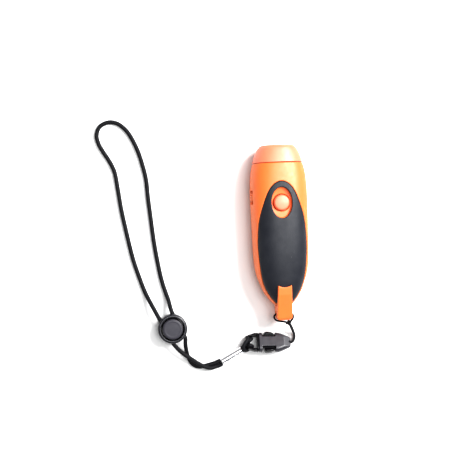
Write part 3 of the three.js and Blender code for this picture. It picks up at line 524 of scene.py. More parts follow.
ORANGE = moulded("satin_orange", (0.84, 0.166, 0.016), (0.88, 0.21, 0.03), 0.5,
                Specular_IOR_Level=1.0)
# A paler, whiter copy of the case orange for the horn cap and the button: the paleness is painted
# sheen.
ORANGE_PAINTED_SHEEN = moulded("satin_orange_painted_sheen", (0.88, 0.215, 0.11), (0.91, 0.26, 0.14), 0.48,
                       Specular_IOR_Level=1.0)
GRIP = soft_grip()
BLACK = moulded("black_plastic", (0.008, 0.008, 0.009), (0.04, 0.04, 0.045), 0.45)
BUCKLE = moulded("satin_acetal", (0.012, 0.0108, 0.019), (0.06, 0.057, 0.07), 0.4,
                 depth=0.008, Specular_IOR_Level=0.9)
PRONG = moulded("gloss_acetal", (0.0025, 0.0025, 0.004), (0.012, 0.012, 0.016), 0.2, depth=0.006,
                Specular_IOR_Level=0.3)
LOCK = moulded("lock_plastic", (0.009, 0.009, 0.014), (0.08, 0.08, 0.11), 0.26, depth=0.008)
LOCK_TOP = moulded("lock_cap_plastic", (0.024, 0.0225, 0.033), (0.08, 0.076, 0.105), 0.42)
WHITE = moulded("switch_plastic", (0.6, 0.6, 0.57), (0.8, 0.8, 0.78), 0.45)
CELL = moulded("cell_jacket", (0.02, 0.06, 0.2), (0.4, 0.42, 0.5), 0.25, depth=0.004)
CHROME = metal("bright_plating", (0.9, 0.9, 0.92), 0.1)
STEEL = metal("nickel_plating", (0.6, 0.59, 0.57), 0.3)
BRASS = metal("brass_disc", (0.72, 0.52, 0.2), 0.32)
BOARD = circuit_green()
COPPER = copper_winding()
BRAID = braid()

# ---------- case

BUTTON_Y = 19.8
BUTTON_RADIUS = 5.2
BUTTON_TOP_Z = 27.5
FLANGE_RADIUS = 6.2
FLANGE_TOP_Z = 22.3
WELL_HALF = (6.7, 10.0)
WELL_FLOOR_Z = 24.7
WELL_DISH = 1.5
WELL_WALL = 1.7
WELL_PLATE_Z = 24.4
PAD_DEPTH = 1.4
# half width and y, from the horn end to the tail
PAD_OUTLINE = [
    (0, 33.7), (4.8, 31.8), (8.8, 26.6), (12.5, 17), (14.8, 8), (15.8, -4), (15.6, -14),
    (14.2, -27), (11.8, -35.8), (7.9, -42.4), (5.2, -45.6),
]
right_side = np.array(PAD_OUTLINE)
left_side = right_side[:0:-1] * (-1, 1)
PAD = Outline(curve_through(np.vstack([left_side, right_side]), 10))

# x, y, head seat z, shank end z, boss radius
SCREWS = [(-13.2, 33, 5.2, 19, 2.3), (13.2, 33, 5.2, 19, 2.3), (0, -42, 6.4, 16, 2.2)]
PILOT_RADIUS = 1.15
SHANK_HOLE_RADIUS = 1.25
HEAD_ROOM_RADIUS = 2.2
HEAD_BOSS_RADIUS = 3.1
TANG_LOW = (-3.7, -47.6, 11.4)
TANG_HIGH = (3.7, -38.2, 15.6)

# Boxes, as their low and high corners
KNOB_ROOM = ((-30, 19.4, 14.6), (-17, 28.6, 19.2))
STEM_ROOM = ((-30, 20.6, 15.9), (-12, 27.4, 17.9))
CELL_TRAY = ((-12.6, -28.3, 1.2), (12.6, 24.3, 13.8))
CELL_BAY = ((-11.1, -27, -2), (11.1, 23, 12.8))
DOOR_REBATE = ((-11.7, -27.8, -3), (11.7, 23.8, 2.4))
DOOR_PLATE = ((-11.4, -27.5, 0.15), (11.4, 23.5, 2.1))
TONE_KNOB = ((-22, 21.6, 14.9), (-17.3, 26.4, 18.9))
TONE_STEM = ((-17.6, 23.2, 16.2), (-13.8, 24.8, 17.6))

# The circuit board's posts: y and foot z, the same on both sides
BOARD_POSTS = [(-11, 12.8), (26.5, 1)]
POST_X = 9
POST_RADIUS = 1.3
BOARD_Z = 14.35

COLLAR_Y = 44
HORN_BORE_RADIUS = 8.9
GRILLE_RADIUS = 8.6
GRILLE_REACH = 6.9
GRILLE_PITCH = 2.9
GRILLE_SLOT_HALF = 0.8


def tang_room(x, y, z):
    """Room in both shells for the lanyard loop's tang, open at the tail."""
    low = [v - GAP for v in TANG_LOW]
    high = [v + GAP for v in TANG_HIGH]
    low[1] = TAIL_Y - 2
    return box_field(x, y, z, low, high, 0.2)


def case_skin(x, y, z):
    """The two shells together, hollow inside."""
    outer = case_field(x, y, z)
    ends = np.maximum(y - (SEAM_Y - GAP / 2), TAIL_Y - y)
    inner = np.maximum(case_field(x, y, z, -WALL), TAIL_Y + WALL - y)
    return without(round_and(outer, ends, 0.45), inner, 0.1)


def well_oval(x, y, grow):
    return oval_field(x, y - BUTTON_Y, WELL_HALF[0] + grow, WELL_HALF[1] + grow)


def well_floor(y):
    """Height of the dished floor round the button."""
    return WELL_FLOOR_Z + WELL_DISH * ((y - BUTTON_Y) / WELL_HALF[1]) ** 2


def front_case_field(x, y, z):
    shell = round_and(case_skin(x, y, z), PARTING_Z + GAP / 2 - z, 0.3)
    plate = slab(well_oval(x, y, WELL_WALL), z - WELL_PLATE_Z, 1.8, 0.1)
    shell = round_or(shell, np.maximum(plate, case_field(x, y, z, -0.5)), 0.1)
    for sx, sy, _, end, radius in SCREWS:
        across = np.hypot(x - sx, y - sy)
        low = TANG_HIGH[2] + 0.5 if sx == 0 else PARTING_Z + GAP / 2
        under_pad = case_field(x, y, z, -PAD_DEPTH - GAP)
        boss = np.maximum(np.maximum(across - radius, low - z), under_pad)
        pilot = np.maximum(across - PILOT_RADIUS, z - end - 1.2)
        shell = np.maximum(np.minimum(shell, boss), -pilot)
    recess = np.maximum(PAD(x, y) - 0.22, -case_field(x, y, z, -PAD_DEPTH))
    shell = without(shell, recess, 0.22)
    dish = round_and(well_oval(x, y, -0.15), well_floor(y) - z, 0.35)
    shell = without(shell, dish, 0.25)
    hole = np.hypot(x, y - BUTTON_Y) - BUTTON_RADIUS - 0.42
    shell = without(shell, np.maximum(hole, -z), 0.3)
    shell = without(shell, box_field(x, y, z, *KNOB_ROOM, 0.4), 0.25)
    shell = without(shell, box_field(x, y, z, *STEM_ROOM, 0.2), 0.1)
    return np.maximum(shell, -tang_room(x, y, z))


def back_case_field(x, y, z):
    tray = box_field(x, y, z, *CELL_TRAY, 0.5)
    skin = np.minimum(case_skin(x, y, z), np.maximum(tray, case_field(x, y, z, -1)))
    shell = round_and(skin, z - (PARTING_Z - GAP / 2), 0.3)
    for post_y, foot in BOARD_POSTS:
        post = np.hypot(np.abs(x) - POST_X, y - post_y) - POST_RADIUS
        height = np.abs(z - (foot + BOARD_Z) / 2) - (BOARD_Z - foot) / 2
        shell = np.minimum(shell, np.maximum(post, height))
    bay = box_field(x, y, z, *CELL_BAY, 0.4)
    door = box_field(x, y, z, *DOOR_REBATE, 0.1)
    shell = without(shell, np.minimum(bay, door), 0.2)
    for sx, sy, seat, _, _ in SCREWS:
        across = np.hypot(x - sx, y - sy)
        top = TANG_LOW[2] - 0.8 if sx == 0 else PARTING_Z - GAP / 2
        boss = np.maximum(across - HEAD_BOSS_RADIUS, z - top)
        boss = np.maximum(boss, case_field(x, y, z, -0.6))
        sink = np.maximum(across - HEAD_ROOM_RADIUS, z - seat)
        shank = np.maximum(across - SHANK_HOLE_RADIUS, -z)
        shell = without(np.minimum(shell, boss), sink, 0.2)
        shell = np.maximum(shell, -shank)
    return np.maximum(shell, -tang_room(x, y, z))


def horn_front_field(x, y, z):
    lip = 0.2 * np.clip((y - MOUTH_Y + 1.5) / 0.3, 0, 1)
    outer = round_and(case_field(x, y, z) + lip, y - MOUTH_Y, 0.35)
    shell = round_and(outer, SEAM_Y + GAP / 2 - y, 0.4)
    collar = np.maximum(case_field(x, y, z, -WALL - GAP), np.abs(y - COLLAR_Y) - 2.5)
    bore = np.hypot(x, z - AXIS_Z) - HORN_BORE_RADIUS
    return without(np.minimum(shell, collar), bore, 0.35)


def pad_field(x, y, z):
    top = round_and(PAD(x, y), case_field(x, y, z, 0.12), 0.45)
    skin = np.maximum(top, -case_field(x, y, z, GAP / 2 - PAD_DEPTH))
    return without(skin, well_oval(x, y, 0), 0.4)


def door_field(x, y, z):
    """The door's panel, with two ribs inside and four grip grooves outside."""
    plate = box_field(x, y, z, *DOOR_PLATE, 0.35)
    rib = box_field(np.abs(x), y, z, (10.2, -23, 1.5), (10.8, 19, 4), 0.15)
    plate = np.minimum(plate, rib)
    for i in range(4):
        groove = box_field(x, y, z, (-5, 15 + 1.6 * i, -2), (5, 15.8 + 1.6 * i, 0.7), 0.25)
        plate = without(plate, groove, 0.15)
    return plate


def grille_field(x, y, z):
    """A disc across the mouth with five level slots."""
    disc = rod_field(x, z - AXIS_Z, y, GRILLE_RADIUS, 55.4, 56.6, 0.3)
    for i in range(-2, 3):
        middle = AXIS_Z + GRILLE_PITCH * i
        reach = math.sqrt(GRILLE_REACH**2 - (GRILLE_PITCH * i) ** 2)
        low = (-reach, 50, middle - GRILLE_SLOT_HALF)
        high = (reach, 60, middle + GRILLE_SLOT_HALF)
        disc = without(disc, box_field(x, y, z, low, high, 0.75), 0.2)
    return disc


def button_field(x, y, z):
    across = np.hypot(x, y - BUTTON_Y)
    stem = round_and(across - BUTTON_RADIUS, z - BUTTON_TOP_Z + 0.022 * across**2, 1.15)
    flange = round_and(across - FLANGE_RADIUS, z - FLANGE_TOP_Z, 0.2)
    return np.maximum(np.minimum(stem, flange), FLANGE_TOP_Z - 1.4 - z)


def slider_field(x, y, z):
    """The tone slider's ribbed knob, cut to the case's surface, and its stem."""
    knob = round_and(box_field(x, y, z, *TONE_KNOB, 0.3), case_field(x, y, z, 0.15), 0.3)
    for shift in (-1.5, 0, 1.5):
        groove = box_field(x, y - shift, z, (-25, 23.75, 10), (-18.2, 24.25, 24), 0.1)
        knob = without(knob, groove, 0.12)
    return np.minimum(knob, box_field(x, y, z, *TONE_STEM, 0.15))


# y and z, seen from the side
LOOP_SIDE = [
    (-33, 18), (-33, 26.1), (-36, 25.6), (-40, 24.75), (-46, 22.9), (-52, 21), (-55.6, 19.9),
    (-56.9, 18.9), (-57.5, 17.4), (-57.5, 11.6), (-56.9, 10.2), (-55.2, 9.2), (-47.6, 8.2),
    (-45, 8.2), (-44, 12),
]
LOOP = Outline(LOOP_SIDE)
LOOP_HALF_WIDTH = 5.4
LOOP_TAPER = 0.028
LOOP_CORNER = 3.2
SCOOP_Y = -35.1
SCOOP_DEPTH = 1.45
CROSS_HOLE_Y = -53
CROSS_HOLE_Z = 14
CROSS_HOLE_RADIUS = 1.7


def strap_clip_field(x, y, z):
    """The strap over the pad's tail: side shape, rounded tip, scooped front, cross hole."""
    half_width = LOOP_HALF_WIDTH - LOOP_TAPER * (y - TIP_Y)
    side = slab(LOOP(y, z), x, half_width, 0.8)
    over_x = np.maximum(np.abs(x) - half_width + LOOP_CORNER, 0)
    over_y = np.maximum(TIP_Y + LOOP_CORNER - y, 0)
    plan = np.hypot(over_x, over_y) - LOOP_CORNER
    scoop = y - SCOOP_Y - SCOOP_DEPTH * (x / half_width) ** 2
    strap = round_and(round_and(side, plan, 0.7), scoop, 0.5)
    strap = without(strap, np.maximum(case_field(x, y, z, 0.25), TAIL_Y - 0.25 - y), 0.1)
    strap = np.minimum(strap, box_field(x, y, z, TANG_LOW, TANG_HIGH, 0.2))
    screw = np.maximum(np.hypot(x, y - SCREWS[2][1]) - 2.6, z - 18)
    hole = np.hypot(y - CROSS_HOLE_Y, z - CROSS_HOLE_Z) - CROSS_HOLE_RADIUS
    return without(without(strap, screw, 0.1), hole, 0.5)


def make_case():
    solid("front_case", front_case_field, (-19.2, -47.6, 13.2), (19.2, 46.2, 28.2), 0.36,
          "whistle", ORANGE, "orange_case", "front_shell")
    solid("back_case", back_case_field, (-19.2, -47.6, -0.2), (19.2, 46.2, 14.6), 0.4,
          "whistle", ORANGE, "orange_case", "back_shell")
    solid("horn_front", horn_front_field, (-17, 41, 0), (17, 57.7, 27.2), 0.3,
          "whistle", ORANGE_PAINTED_SHEEN, "light_orange", "horn_cap")
    solid("pad_skin", pad_field, (-16.4, -46.2, 15), (16.4, 34.2, 28.4), 0.3,
          "whistle", GRIP, "soft_grip", "grip_pad")
    solid("strap_clip", strap_clip_field, (-5.8, -58, 8), (5.8, -33, 26.4), 0.22,
          "whistle", ORANGE, "orange_case", "lanyard_loop")
    solid("door_panel", door_field, (-11.6, -27.8, 0), (11.6, 23.8, 4.2), 0.4,
          "door", ORANGE, "orange_case", "battery_door")
    solid("mouth_grille", grille_field, (-8.8, 55.2, 5), (8.8, 56.8, 22.5), 0.25,
          "whistle", BLACK, "black_plastic", "horn_grille")
    solid("button_cap", button_field, (-6.5, 13.4, 20.7), (6.5, 26.2, 27.6), 0.2,
          "button", ORANGE_PAINTED_SHEEN, "light_orange", "push_button")
    solid("tone_knob", slider_field, (-19.2, 21.2, 14.5), (-13.6, 26.8, 19.3), 0.15,
          "tone", ORANGE, "orange_case", "tone_slider")


# ---------- buckle

# In the buckle's own frame u runs from the hitch's bar to the strap cord, v across it
BUCKLE_BAR = (-22.6, -72.2)
BUCKLE_TURN = -0.05
BUCKLE_ROLL = 0.5
BUCKLE_HEIGHT = 4.85
BUCKLE_HALF = 2.9


def turned_place(points, centre, angle):
    """Points from a turned local frame, moved to the CAD frame."""
    points = np.array(points, float)
    c, s = math.cos(angle), math.sin(angle)
    x = centre[0] + c * points[:, 0] - s * points[:, 1]
    y = centre[1] + s * points[:, 0] + c * points[:, 1]
    return np.column_stack([x, y, points[:, 2]])


def buckle_place(points):
    """The buckle lies rolled over on one long edge."""
    c, s = math.cos(BUCKLE_ROLL), math.sin(BUCKLE_ROLL)
    u, v, z = np.array(points, float).T
    rolled = np.column_stack([u, c * v + s * z, BUCKLE_HEIGHT - s * v + c * z])
    return turned_place(rolled, BUCKLE_BAR, BUCKLE_TURN)


def mirrored(points):
    """The outline's other half, in an order that closes it."""
    return [(u, -v) for u, v in reversed(points)]


SOCKET_FROM = 6.5
SOCKET_TO = 27.8
# u, and the half width there
SOCKET_WIDTHS = ((6.9, 8.4, 19.5, 21.8, 27.4, 27.8), (6.5, 6.7, 6.6, 5.95, 3.4, 2.9))
# Where the facets leave the socket's flat sides
FACET_FROM = 23.3
FACET_SLOPE = 0.342
WINDOW = ((8.6, 3.4, -6), (17.5, 14, 6))
STRAP_BORE_RADIUS = 0.95
STRAP_BORE_HALF = 0.67
THROAT_HALF = [(5, 5.25), (18.4, 5.25), (20.6, 4)]
THROAT = Outline(mirrored(THROAT_HALF) + THROAT_HALF)
FLANGE_MIDDLE = 5.65
FLANGE_HALF = 0.55
BAR_RADIUS = 0.75
RAIL = Outline([
    (5.4, 6.3), (3.4, 6.3), (1.4, 5.5), (-0.8, 4.8), (-0.8, 3.75), (0.9, 3.75), (2.6, 4.2),
    (5.4, 4.2)])
PRONG_ARM = Outline([
    (7, 2.9), (17, 2.9), (17.1, 3.4), (17.1, 4.3), (16.9, 5.2), (16.2, 6.2), (14.5, 6.7),
    (12, 6.85), (10.6, 6.6), (10.1, 5.9), (10.1, 4.9), (7, 4.9)])
PRONG_RIDGE = Outline([
    (10.4, 5), (16.6, 5), (15.9, 6.1), (14.5, 6.85), (12, 7.05), (10.7, 6.75)])


def socket_field(u, v, z):
    """The buckle's sleeve: two sloped facets, an open throat, a window on each side."""
    section = slab(np.abs(v) - np.interp(u, *SOCKET_WIDTHS), z, BUCKLE_HALF, 2.5)
    shell = round_and(section, np.maximum(SOCKET_FROM - u, u - SOCKET_TO), 0.35)
    facet = np.abs(z) - BUCKLE_HALF + FACET_SLOPE * (u - FACET_FROM)
    shell = round_and(shell, facet / math.hypot(1, FACET_SLOPE), 0.12)
    shell = without(shell, slab(THROAT(u, v), z, 1.8, 0.3), 0.25)
    shell = without(shell, box_field(u, np.abs(v), z, *WINDOW, 0.5), 0.3)
    bore = np.hypot(v, np.maximum(np.abs(z) - STRAP_BORE_HALF, 0)) - STRAP_BORE_RADIUS
    return without(shell, np.maximum(bore, 20 - u), 0.3)


def plug_field(u, v, z):
    """The plug's flange, its two rails and the bar between them."""
    section = slab(np.abs(v) - 6.5, z, BUCKLE_HALF, 2.3)
    flange = round_and(section, np.abs(u - FLANGE_MIDDLE) - FLANGE_HALF, 0.4)
    rail = slab(RAIL(u, np.abs(v)), z, 1.7, 0.7)
    bar = np.maximum(np.hypot(u, z) - BAR_RADIUS, np.abs(v) - 4.2)
    return round_or(round_or(flange, rail, 0.4), bar, 0.3)


def prong_field(u, v, z):
    """An arm with the thicker ridge that shows in the window."""
    arm = slab(PRONG_ARM(u, v), z, 1.5, 0.35)
    ridge = slab(PRONG_RIDGE(u, v), z, 2.2, 0.9)
    return round_or(arm, ridge, 0.5)


def buckle_piece(name, points, faces, body, material, replaced):
    new_piece(name, buckle_place(points), faces, body, material, "buckle_plastic", replaced)


def make_buckle():
    points, faces = surface(socket_field, (6.5, -7, -3.1), (28.1, 7, 3.1), 0.2)
    buckle_piece("clip_socket", points, faces, "whistle", BUCKLE, "buckle_socket")
    points, faces = surface(plug_field, (-1.4, -6.8, -3.1), (6.9, 6.8, 3.1), 0.18)
    buckle_piece("clip_plug", points, faces, "whistle", PRONG, "buckle_plug")
    points, faces = surface(prong_field, (6.7, 2.5, -2.5), (17.5, 7.3, 2.5), 0.15)
    buckle_piece("clip_prong_left", points, faces, "prong_left", PRONG, "buckle_prong_left")
    buckle_piece("clip_prong_right", points * (1, -1, 1), faces[:, ::-1], "prong_right", PRONG,
                 "buckle_prong_right")


# ---------- ferrule

FERRULE_FROM = np.array((-41.4, -84.4, 2.45))
FERRULE_TO = np.array((-27.4, -77.0, 2.75))
FERRULE_LENGTH = float(np.linalg.norm(FERRULE_TO - FERRULE_FROM))
FERRULE_AXIS = (FERRULE_TO - FERRULE_FROM) / FERRULE_LENGTH
FERRULE_SIDE = np.cross((0, 0, 1), FERRULE_AXIS)
FERRULE_SIDE /= np.linalg.norm(FERRULE_SIDE)
FERRULE_UP = np.cross(FERRULE_AXIS, FERRULE_SIDE)
FERRULE_RADIUS = 2.32
FERRULE_BORE = 1.95
BEAD_HEIGHT = 0.12
BEAD_PLACE = 0.55
BEAD_WIDTH = 0.35
SEAM_ANGLE = math.radians(13)
CREASE_ANGLE = math.radians(37)
CREASE_DEPTH = 0.2


def slit(b, c, angle, half_width):
    """A cut from the tube's axis outwards, at that angle from its top."""
    outwards = b * math.sin(angle) + c * math.cos(angle)
    aside = b * math.cos(angle) - c * math.sin(angle)
    return np.maximum(np.abs(aside) - half_width, -outwards)


def ferrule_field(a, b, c):
    """a runs along the tube, b to its side and c up; rolled from sheet, with a seam."""
    across = np.hypot(b, c)
    from_end = np.minimum(a, FERRULE_LENGTH - a)
    bead = BEAD_HEIGHT * np.exp(-(((from_end - BEAD_PLACE) / BEAD_WIDTH) ** 2))
    tube = round_and(across - FERRULE_RADIUS - bead, -from_end, 0.2)
    tube = without(tube, across - FERRULE_BORE, 0.12)
    tube = without(tube, slit(b, c, SEAM_ANGLE, 0.22), 0.12)
    outer_skin = FERRULE_RADIUS - CREASE_DEPTH - across
    crease = np.maximum(slit(b, c, CREASE_ANGLE, 0.12), outer_skin)
    return without(tube, crease, 0.08)


def make_ferrule():
    high = (FERRULE_LENGTH + 0.2, 2.7, 2.7)
    points, faces = surface(ferrule_field, (-0.2, -2.7, -2.7), high, 0.13)
    basis = np.array([FERRULE_AXIS, -FERRULE_SIDE, FERRULE_UP])
    new_piece("crimp_tube", FERRULE_FROM + points @ basis, faces[:, ::-1], "whistle", CHROME,
              "ferrule_metal", "ferrule")


# ---------- cord lock

LOCK_PLACE = (-73.2, -60.0)
LOCK_TURN = 0.477
LOCK_RADIUS = 9.6
LOCK_MIDDLE_Z = 5.2
LOCK_HALF_HEIGHT = 5.15
POCKET_RADIUS = 7.7
POCKET_FLOOR_Z = 1.2
CORD_HOLE_X = 4.5
CORD_HOLE_Z = 6.2
CORD_HOLE_RADIUS = 1.95
CAP_RADIUS = 6.68
CAP_TOP_Z = 12.5
CAP_BOTTOM_Z = 3.6
CAP_DISH_RADIUS = 4.7
CAP_DISH_Z = 12.33
CAP_SLOT = ((2.6, -12, 4.6), (6.4, 12, 9.9))
SPRING_ROOM_RADIUS = 2.1
SPRING_ROOM_Z = 8.6


def lock_body_field(x, y, z):
    """A low drum with a pocket for the cap and two cross holes for the cord."""
    across = np.hypot(x, y)
    foot = 0.10 * np.clip(z - 3, -3, 0)
    outside = slab(across - LOCK_RADIUS - foot, z - LOCK_MIDDLE_Z, LOCK_HALF_HEIGHT, 1.1)
    pocket = np.maximum(across - POCKET_RADIUS, POCKET_FLOOR_Z - z)
    body = without(outside, pocket, 0.25)
    holes = np.hypot(np.abs(x) - CORD_HOLE_X, z - CORD_HOLE_Z) - CORD_HOLE_RADIUS
    return without(body, np.maximum(holes, np.abs(y) - 12), 0.35)


def lock_cap_field(x, y, z):
    """The cap: slightly domed, dished on top, with a slot for each run of the cord."""
    across = np.hypot(x, y)
    top = CAP_TOP_Z - 0.006 * across**2
    cap = round_and(across - CAP_RADIUS, z - top, 0.8)
    cap = round_and(cap, CAP_BOTTOM_Z - z, 0.2)
    cap = without(cap, np.maximum(across - CAP_DISH_RADIUS, CAP_DISH_Z - z), 0.25)
    cap = without(cap, box_field(np.abs(x), y, z, *CAP_SLOT, 0.6), 0.15)
    return without(cap, np.maximum(across - SPRING_ROOM_RADIUS, z - SPRING_ROOM_Z), 0.1)


def lock_place(points):
    return turned_place(points, LOCK_PLACE, LOCK_TURN)


def make_lock():
    points, faces = surface(lock_body_field, (-9.9, -9.9, -0.1), (9.9, 9.9, 10.6), 0.24)
    new_piece("lock_ring", lock_place(points), faces, "lock", LOCK, "lock_plastic",
              "cord_lock_body")
    points, faces = surface(lock_cap_field, (-7.4, -7.4, 3.4), (7.4, 7.4, 12.7), 0.22)
    new_piece("lock_cap", lock_place(points), faces, "lock_button", LOCK_TOP, "lock_plastic",
              "cord_lock_plunger")


# ---------- cords

# Points that the middle of each cord runs through, in the CAD frame
WRIST_ROUTE = [
    (-42.35, -83.45, 2.3), (-44.2, -84.4, 2), (-46.8, -85.25, 1.6), (-49.9, -86, 1.35),
    (-52.8, -86.6, 1.35), (-55.6, -86.9, 1.35), (-58.4, -86.4, 1.35), (-60.9, -84.6, 1.35),
    (-62.7, -81.7, 1.35), (-63.9, -78.5, 1.5), (-64.5, -75.2, 3.2), (-64.95, -72.4, 4.7),
    (-65.05, -69.82, 5.6), (-65.01, -66.8, 6.15), (-67.18, -62.29, 6.2), (-69.2, -57.93, 6.2),
    (-71.23, -53.58, 6.2), (-73.07, -49.47, 6.1), (-74.01, -46.24, 5.1), (-75, -41.5, 3.2),
    (-77, -35, 1.7), (-78.8, -28.5, 1.35), (-81.3, -14.1, 1.35), (-83, -1.3, 1.35),
    (-84.4, 14, 1.35), (-85.6, 27.6, 1.35), (-86.4, 39.5, 1.35), (-88.7, 50.4, 1.35),
    (-91.6, 59.9, 1.35), (-96.7, 70.2, 1.35), (-100.4, 74.5, 1.35), (-104.3, 77.1, 1.35),
    (-109.6, 77.9, 1.35), (-115.3, 75.2, 1.35), (-117.6, 69.6, 1.35), (-116.5, 63.7, 1.35),
    (-114, 58.8, 1.35), (-110.9, 53.7, 1.35), (-108.2, 48.5, 1.35), (-106.7, 44, 1.35),
    (-105.2, 33.4, 1.35), (-103.6, 20.7, 1.35), (-100.9, 5.4, 1.35), (-97.1, -13.4, 1.35),
    (-93.6, -25.4, 1.35), (-90.4, -34.9, 1.8), (-86.9, -42.6, 4.4), (-83.72, -49, 6.1),
    (-81.47, -53.58, 6.2), (-77.15, -62.04, 6.2), (-72.98, -70.02, 6.2), (-71.8, -71.8, 6),
    (-69.4, -74.6, 5.6), (-66.6, -77.2, 5.2), (-63.3, -79.8, 4.7), (-59.5, -82.6, 4.3),
    (-55.9, -85.1, 4.2), (-52.4, -86.9, 4.1), (-48.7, -88.0, 2.9), (-45.3, -87.35, 1.9),
    (-42.9, -86.75, 2), (-41.45, -86.05, 2.2),
]
STRAP_ROUTE = [
    (-2.9, -72.87, 5.44), (1.4, -73.08, 5.44), (5.2, -73.2, 5.44), (6.6, -72.85, 5),
    (7.65, -71.8, 3.9), (8.25, -70.1, 2.9), (7.8, -67.7, 3.4), (6.5, -64.8, 5.6),
    (5, -61.9, 7.9), (3.8, -60.3, 9.3), (1.4, -59.1, 10.6), (-1.5, -58.45, 11.7),
    (-4.1, -57.75, 12.8), (-5.85, -56.4, 13.6), (-6.3, -54.7, 14.05), (-5.1, -53.35, 14.05),
    (-2.8, -52.75, 14), (0, -52.5, 14), (2.8, -52.75, 14), (5.1, -53.35, 14),
    (6.35, -54.7, 13.8), (6.25, -56.6, 12.9), (5.4, -58.4, 11.3), (4.4, -60, 9.4),
    (5.8, -61.9, 6.8), (7.2, -64.6, 4.4), (8.45, -67.5, 2.1), (8.95, -70.1, 1.5),
    (8.15, -72.3, 2.5), (6.7, -73.6, 3.9), (5.2, -73.85, 4.26), (1.4, -73.72, 4.26),
    (-2.9, -73.5, 4.26),
]


def run_along(line):
    """Length of the line from its start to each of its points."""
    return np.concatenate([[0], np.cumsum(np.linalg.norm(np.diff(line, axis=0), axis=1))])


def part_way(a, b, start, end, t):
    """The point between a and b at t, where a is at start and b at end."""
    return ((end - t) * a + (t - start) * b) / (end - start)


def centripetal(points, spacing):
    """Even points along the centripetal Catmull-Rom curve through the given ones."""
    points = np.asarray(points, float)
    padded = with_end_points(points)
    dense = []
    for a, b, c, d in zip(padded, padded[1:], padded[2:], padded[3:]):
        knots = [0.0]
        for p, q in ((a, b), (b, c), (c, d)):
            knots.append(knots[-1] + math.sqrt(np.linalg.norm(q - p)))
        t0, t1, t2, t3 = knots
        t = np.linspace(t1, t2, 24, endpoint=False)[:, None]
        ab = part_way(a, b, t0, t1, t)
        bc = part_way(b, c, t1, t2, t)
        cd = part_way(c, d, t2, t3, t)
        abc = part_way(ab, bc, t0, t2, t)
        bcd = part_way(bc, cd, t1, t3, t)
        dense.append(part_way(abc, bcd, t1, t2, t))
    dense = np.vstack([*dense, points[-1:]])
    along = run_along(dense)
    at = np.linspace(0, along[-1], int(along[-1] / spacing) + 2)
    return np.column_stack([np.interp(at, along, dense[:, k]) for k in range(3)])


def braided_tube(name, line, radius, strands, pitch, sides, relief):
    """A round cord of strands laid over and under each other, along an even line."""
    steps = np.gradient(line, axis=0)
    tangents = steps / np.linalg.norm(steps, axis=1)[:, None]
    side = np.cross(tangents[0], (0, 0, 1))
    side /= np.linalg.norm(side)
    sides_along = []
    for tangent in tangents:
        side = side - tangent * side.dot(tangent)
        side /= np.linalg.norm(side)
        sides_along.append(side)
    sides_along = np.array(sides_along)
    ups = np.cross(tangents, sides_along)
    along = run_along(line)
    angle = 2 * np.pi * np.arange(sides) / sides
    turn = strands * angle[None, :] / (2 * np.pi)
    drift = strands * along[:, None] / pitch
    one, two = turn + drift, turn - drift
    over = (np.floor(one) + np.floor(two)) % 2 == 0
    crest_one = np.sin(np.pi * (one % 1)) ** 0.7
    crest_two = np.sin(np.pi * (two % 1)) ** 0.7
    height = np.where(over, crest_one, crest_two) * np.sin(
        np.pi * np.where(over, two % 1, one % 1)) ** 0.3
    reach = np.reshape(radius, (-1, 1)) + relief * (height - 0.7)
    ring = (
        np.cos(angle)[None, :, None] * sides_along[:, None, :]
        + np.sin(angle)[None, :, None] * ups[:, None, :]
    )
    points = line[:, None, :] + reach[:, :, None] * ring
    count = len(line)
    index = np.arange(count * sides).reshape(count, sides)
    a, b = index[:-1], index[1:]
    quads = np.stack([a, np.roll(a, -1, 1), np.roll(b, -1, 1), b], axis=2).reshape(-1, 4)
    faces = [*quads.tolist(), index[0, ::-1].tolist(), index[-1].tolist()]
    piece = mesh_object(name, points.reshape(-1, 3), faces, BRAID)
    # The weave's height, which the braid material paints as shade in the gaps and highlight on the
    # crests.
    layer = piece.data.attributes.new("strand", "FLOAT", "POINT")
    layer.data.foreach_set("value", height.ravel().astype(np.float32))
    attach(piece, "whistle")
    return piece


WRIST_SPREAD = 0.97
WRIST_RADIUS = 1.34
SQUEEZED_RADIUS = 0.94
SQUEEZE_REACH = 4


def squeezed(line):
    """The wrist cord's radius along the line, drawn in where it enters the ferrule."""
    outside = (FERRULE_FROM - line) @ FERRULE_AXIS
    near = np.linalg.norm(line - FERRULE_FROM, axis=1) < SQUEEZE_REACH
    inwards = np.where(near, np.minimum(0, outside - 0.7), 0)
    return np.maximum(WRIST_RADIUS + 0.4 * inwards, SQUEEZED_RADIUS)


def make_cords():
    side = FERRULE_SIDE * WRIST_SPREAD
    ends = [FERRULE_FROM + depth * FERRULE_AXIS for depth in (1.6, 0.2)]
    route = [end + side for end in ends] + WRIST_ROUTE + [end - side for end in ends[::-1]]
    line = centripetal(route, 0.22)
    cord = braided_tube("braided_wrist_cord", line, squeezed(line), 8, 7.5, 40, 0.11)
    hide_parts("wrist_cord")

    line = centripetal(STRAP_ROUTE, 0.12)
    strap = braided_tube("thin_strap_cord", line, 0.62, 5, 3.2, 20, 0.06)
    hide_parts("strap_cord")
    knot = make_knot("strap_knot", (3.95, -60.1, 9.3), (0.55, -0.5, -0.65), 1.2, 0.6)
    stopper = make_knot("strap_stopper", (-3.6, -73.15, 4.85), (1, -0.05, 0), 0.7, 0.55)


def make_knot(name, centre, axis, size, radius):
    """A small overhand knot drawn tight: a trefoil of the same cord."""
    t = np.linspace(0, 2 * np.pi, 121)
    trefoil = np.column_stack([
        np.sin(t) + 1.6 * np.sin(2 * t), np.cos(t) - 1.6 * np.cos(2 * t), -1.35 * np.sin(3 * t)])
    turn = Vector((0, 0, 1)).rotation_difference(Vector(axis)).to_matrix()
    line = trefoil * size / 2.1 @ np.array(turn).T + centre
    return braided_tube(name, line, radius, 4, 2.4, 16, 0.05)


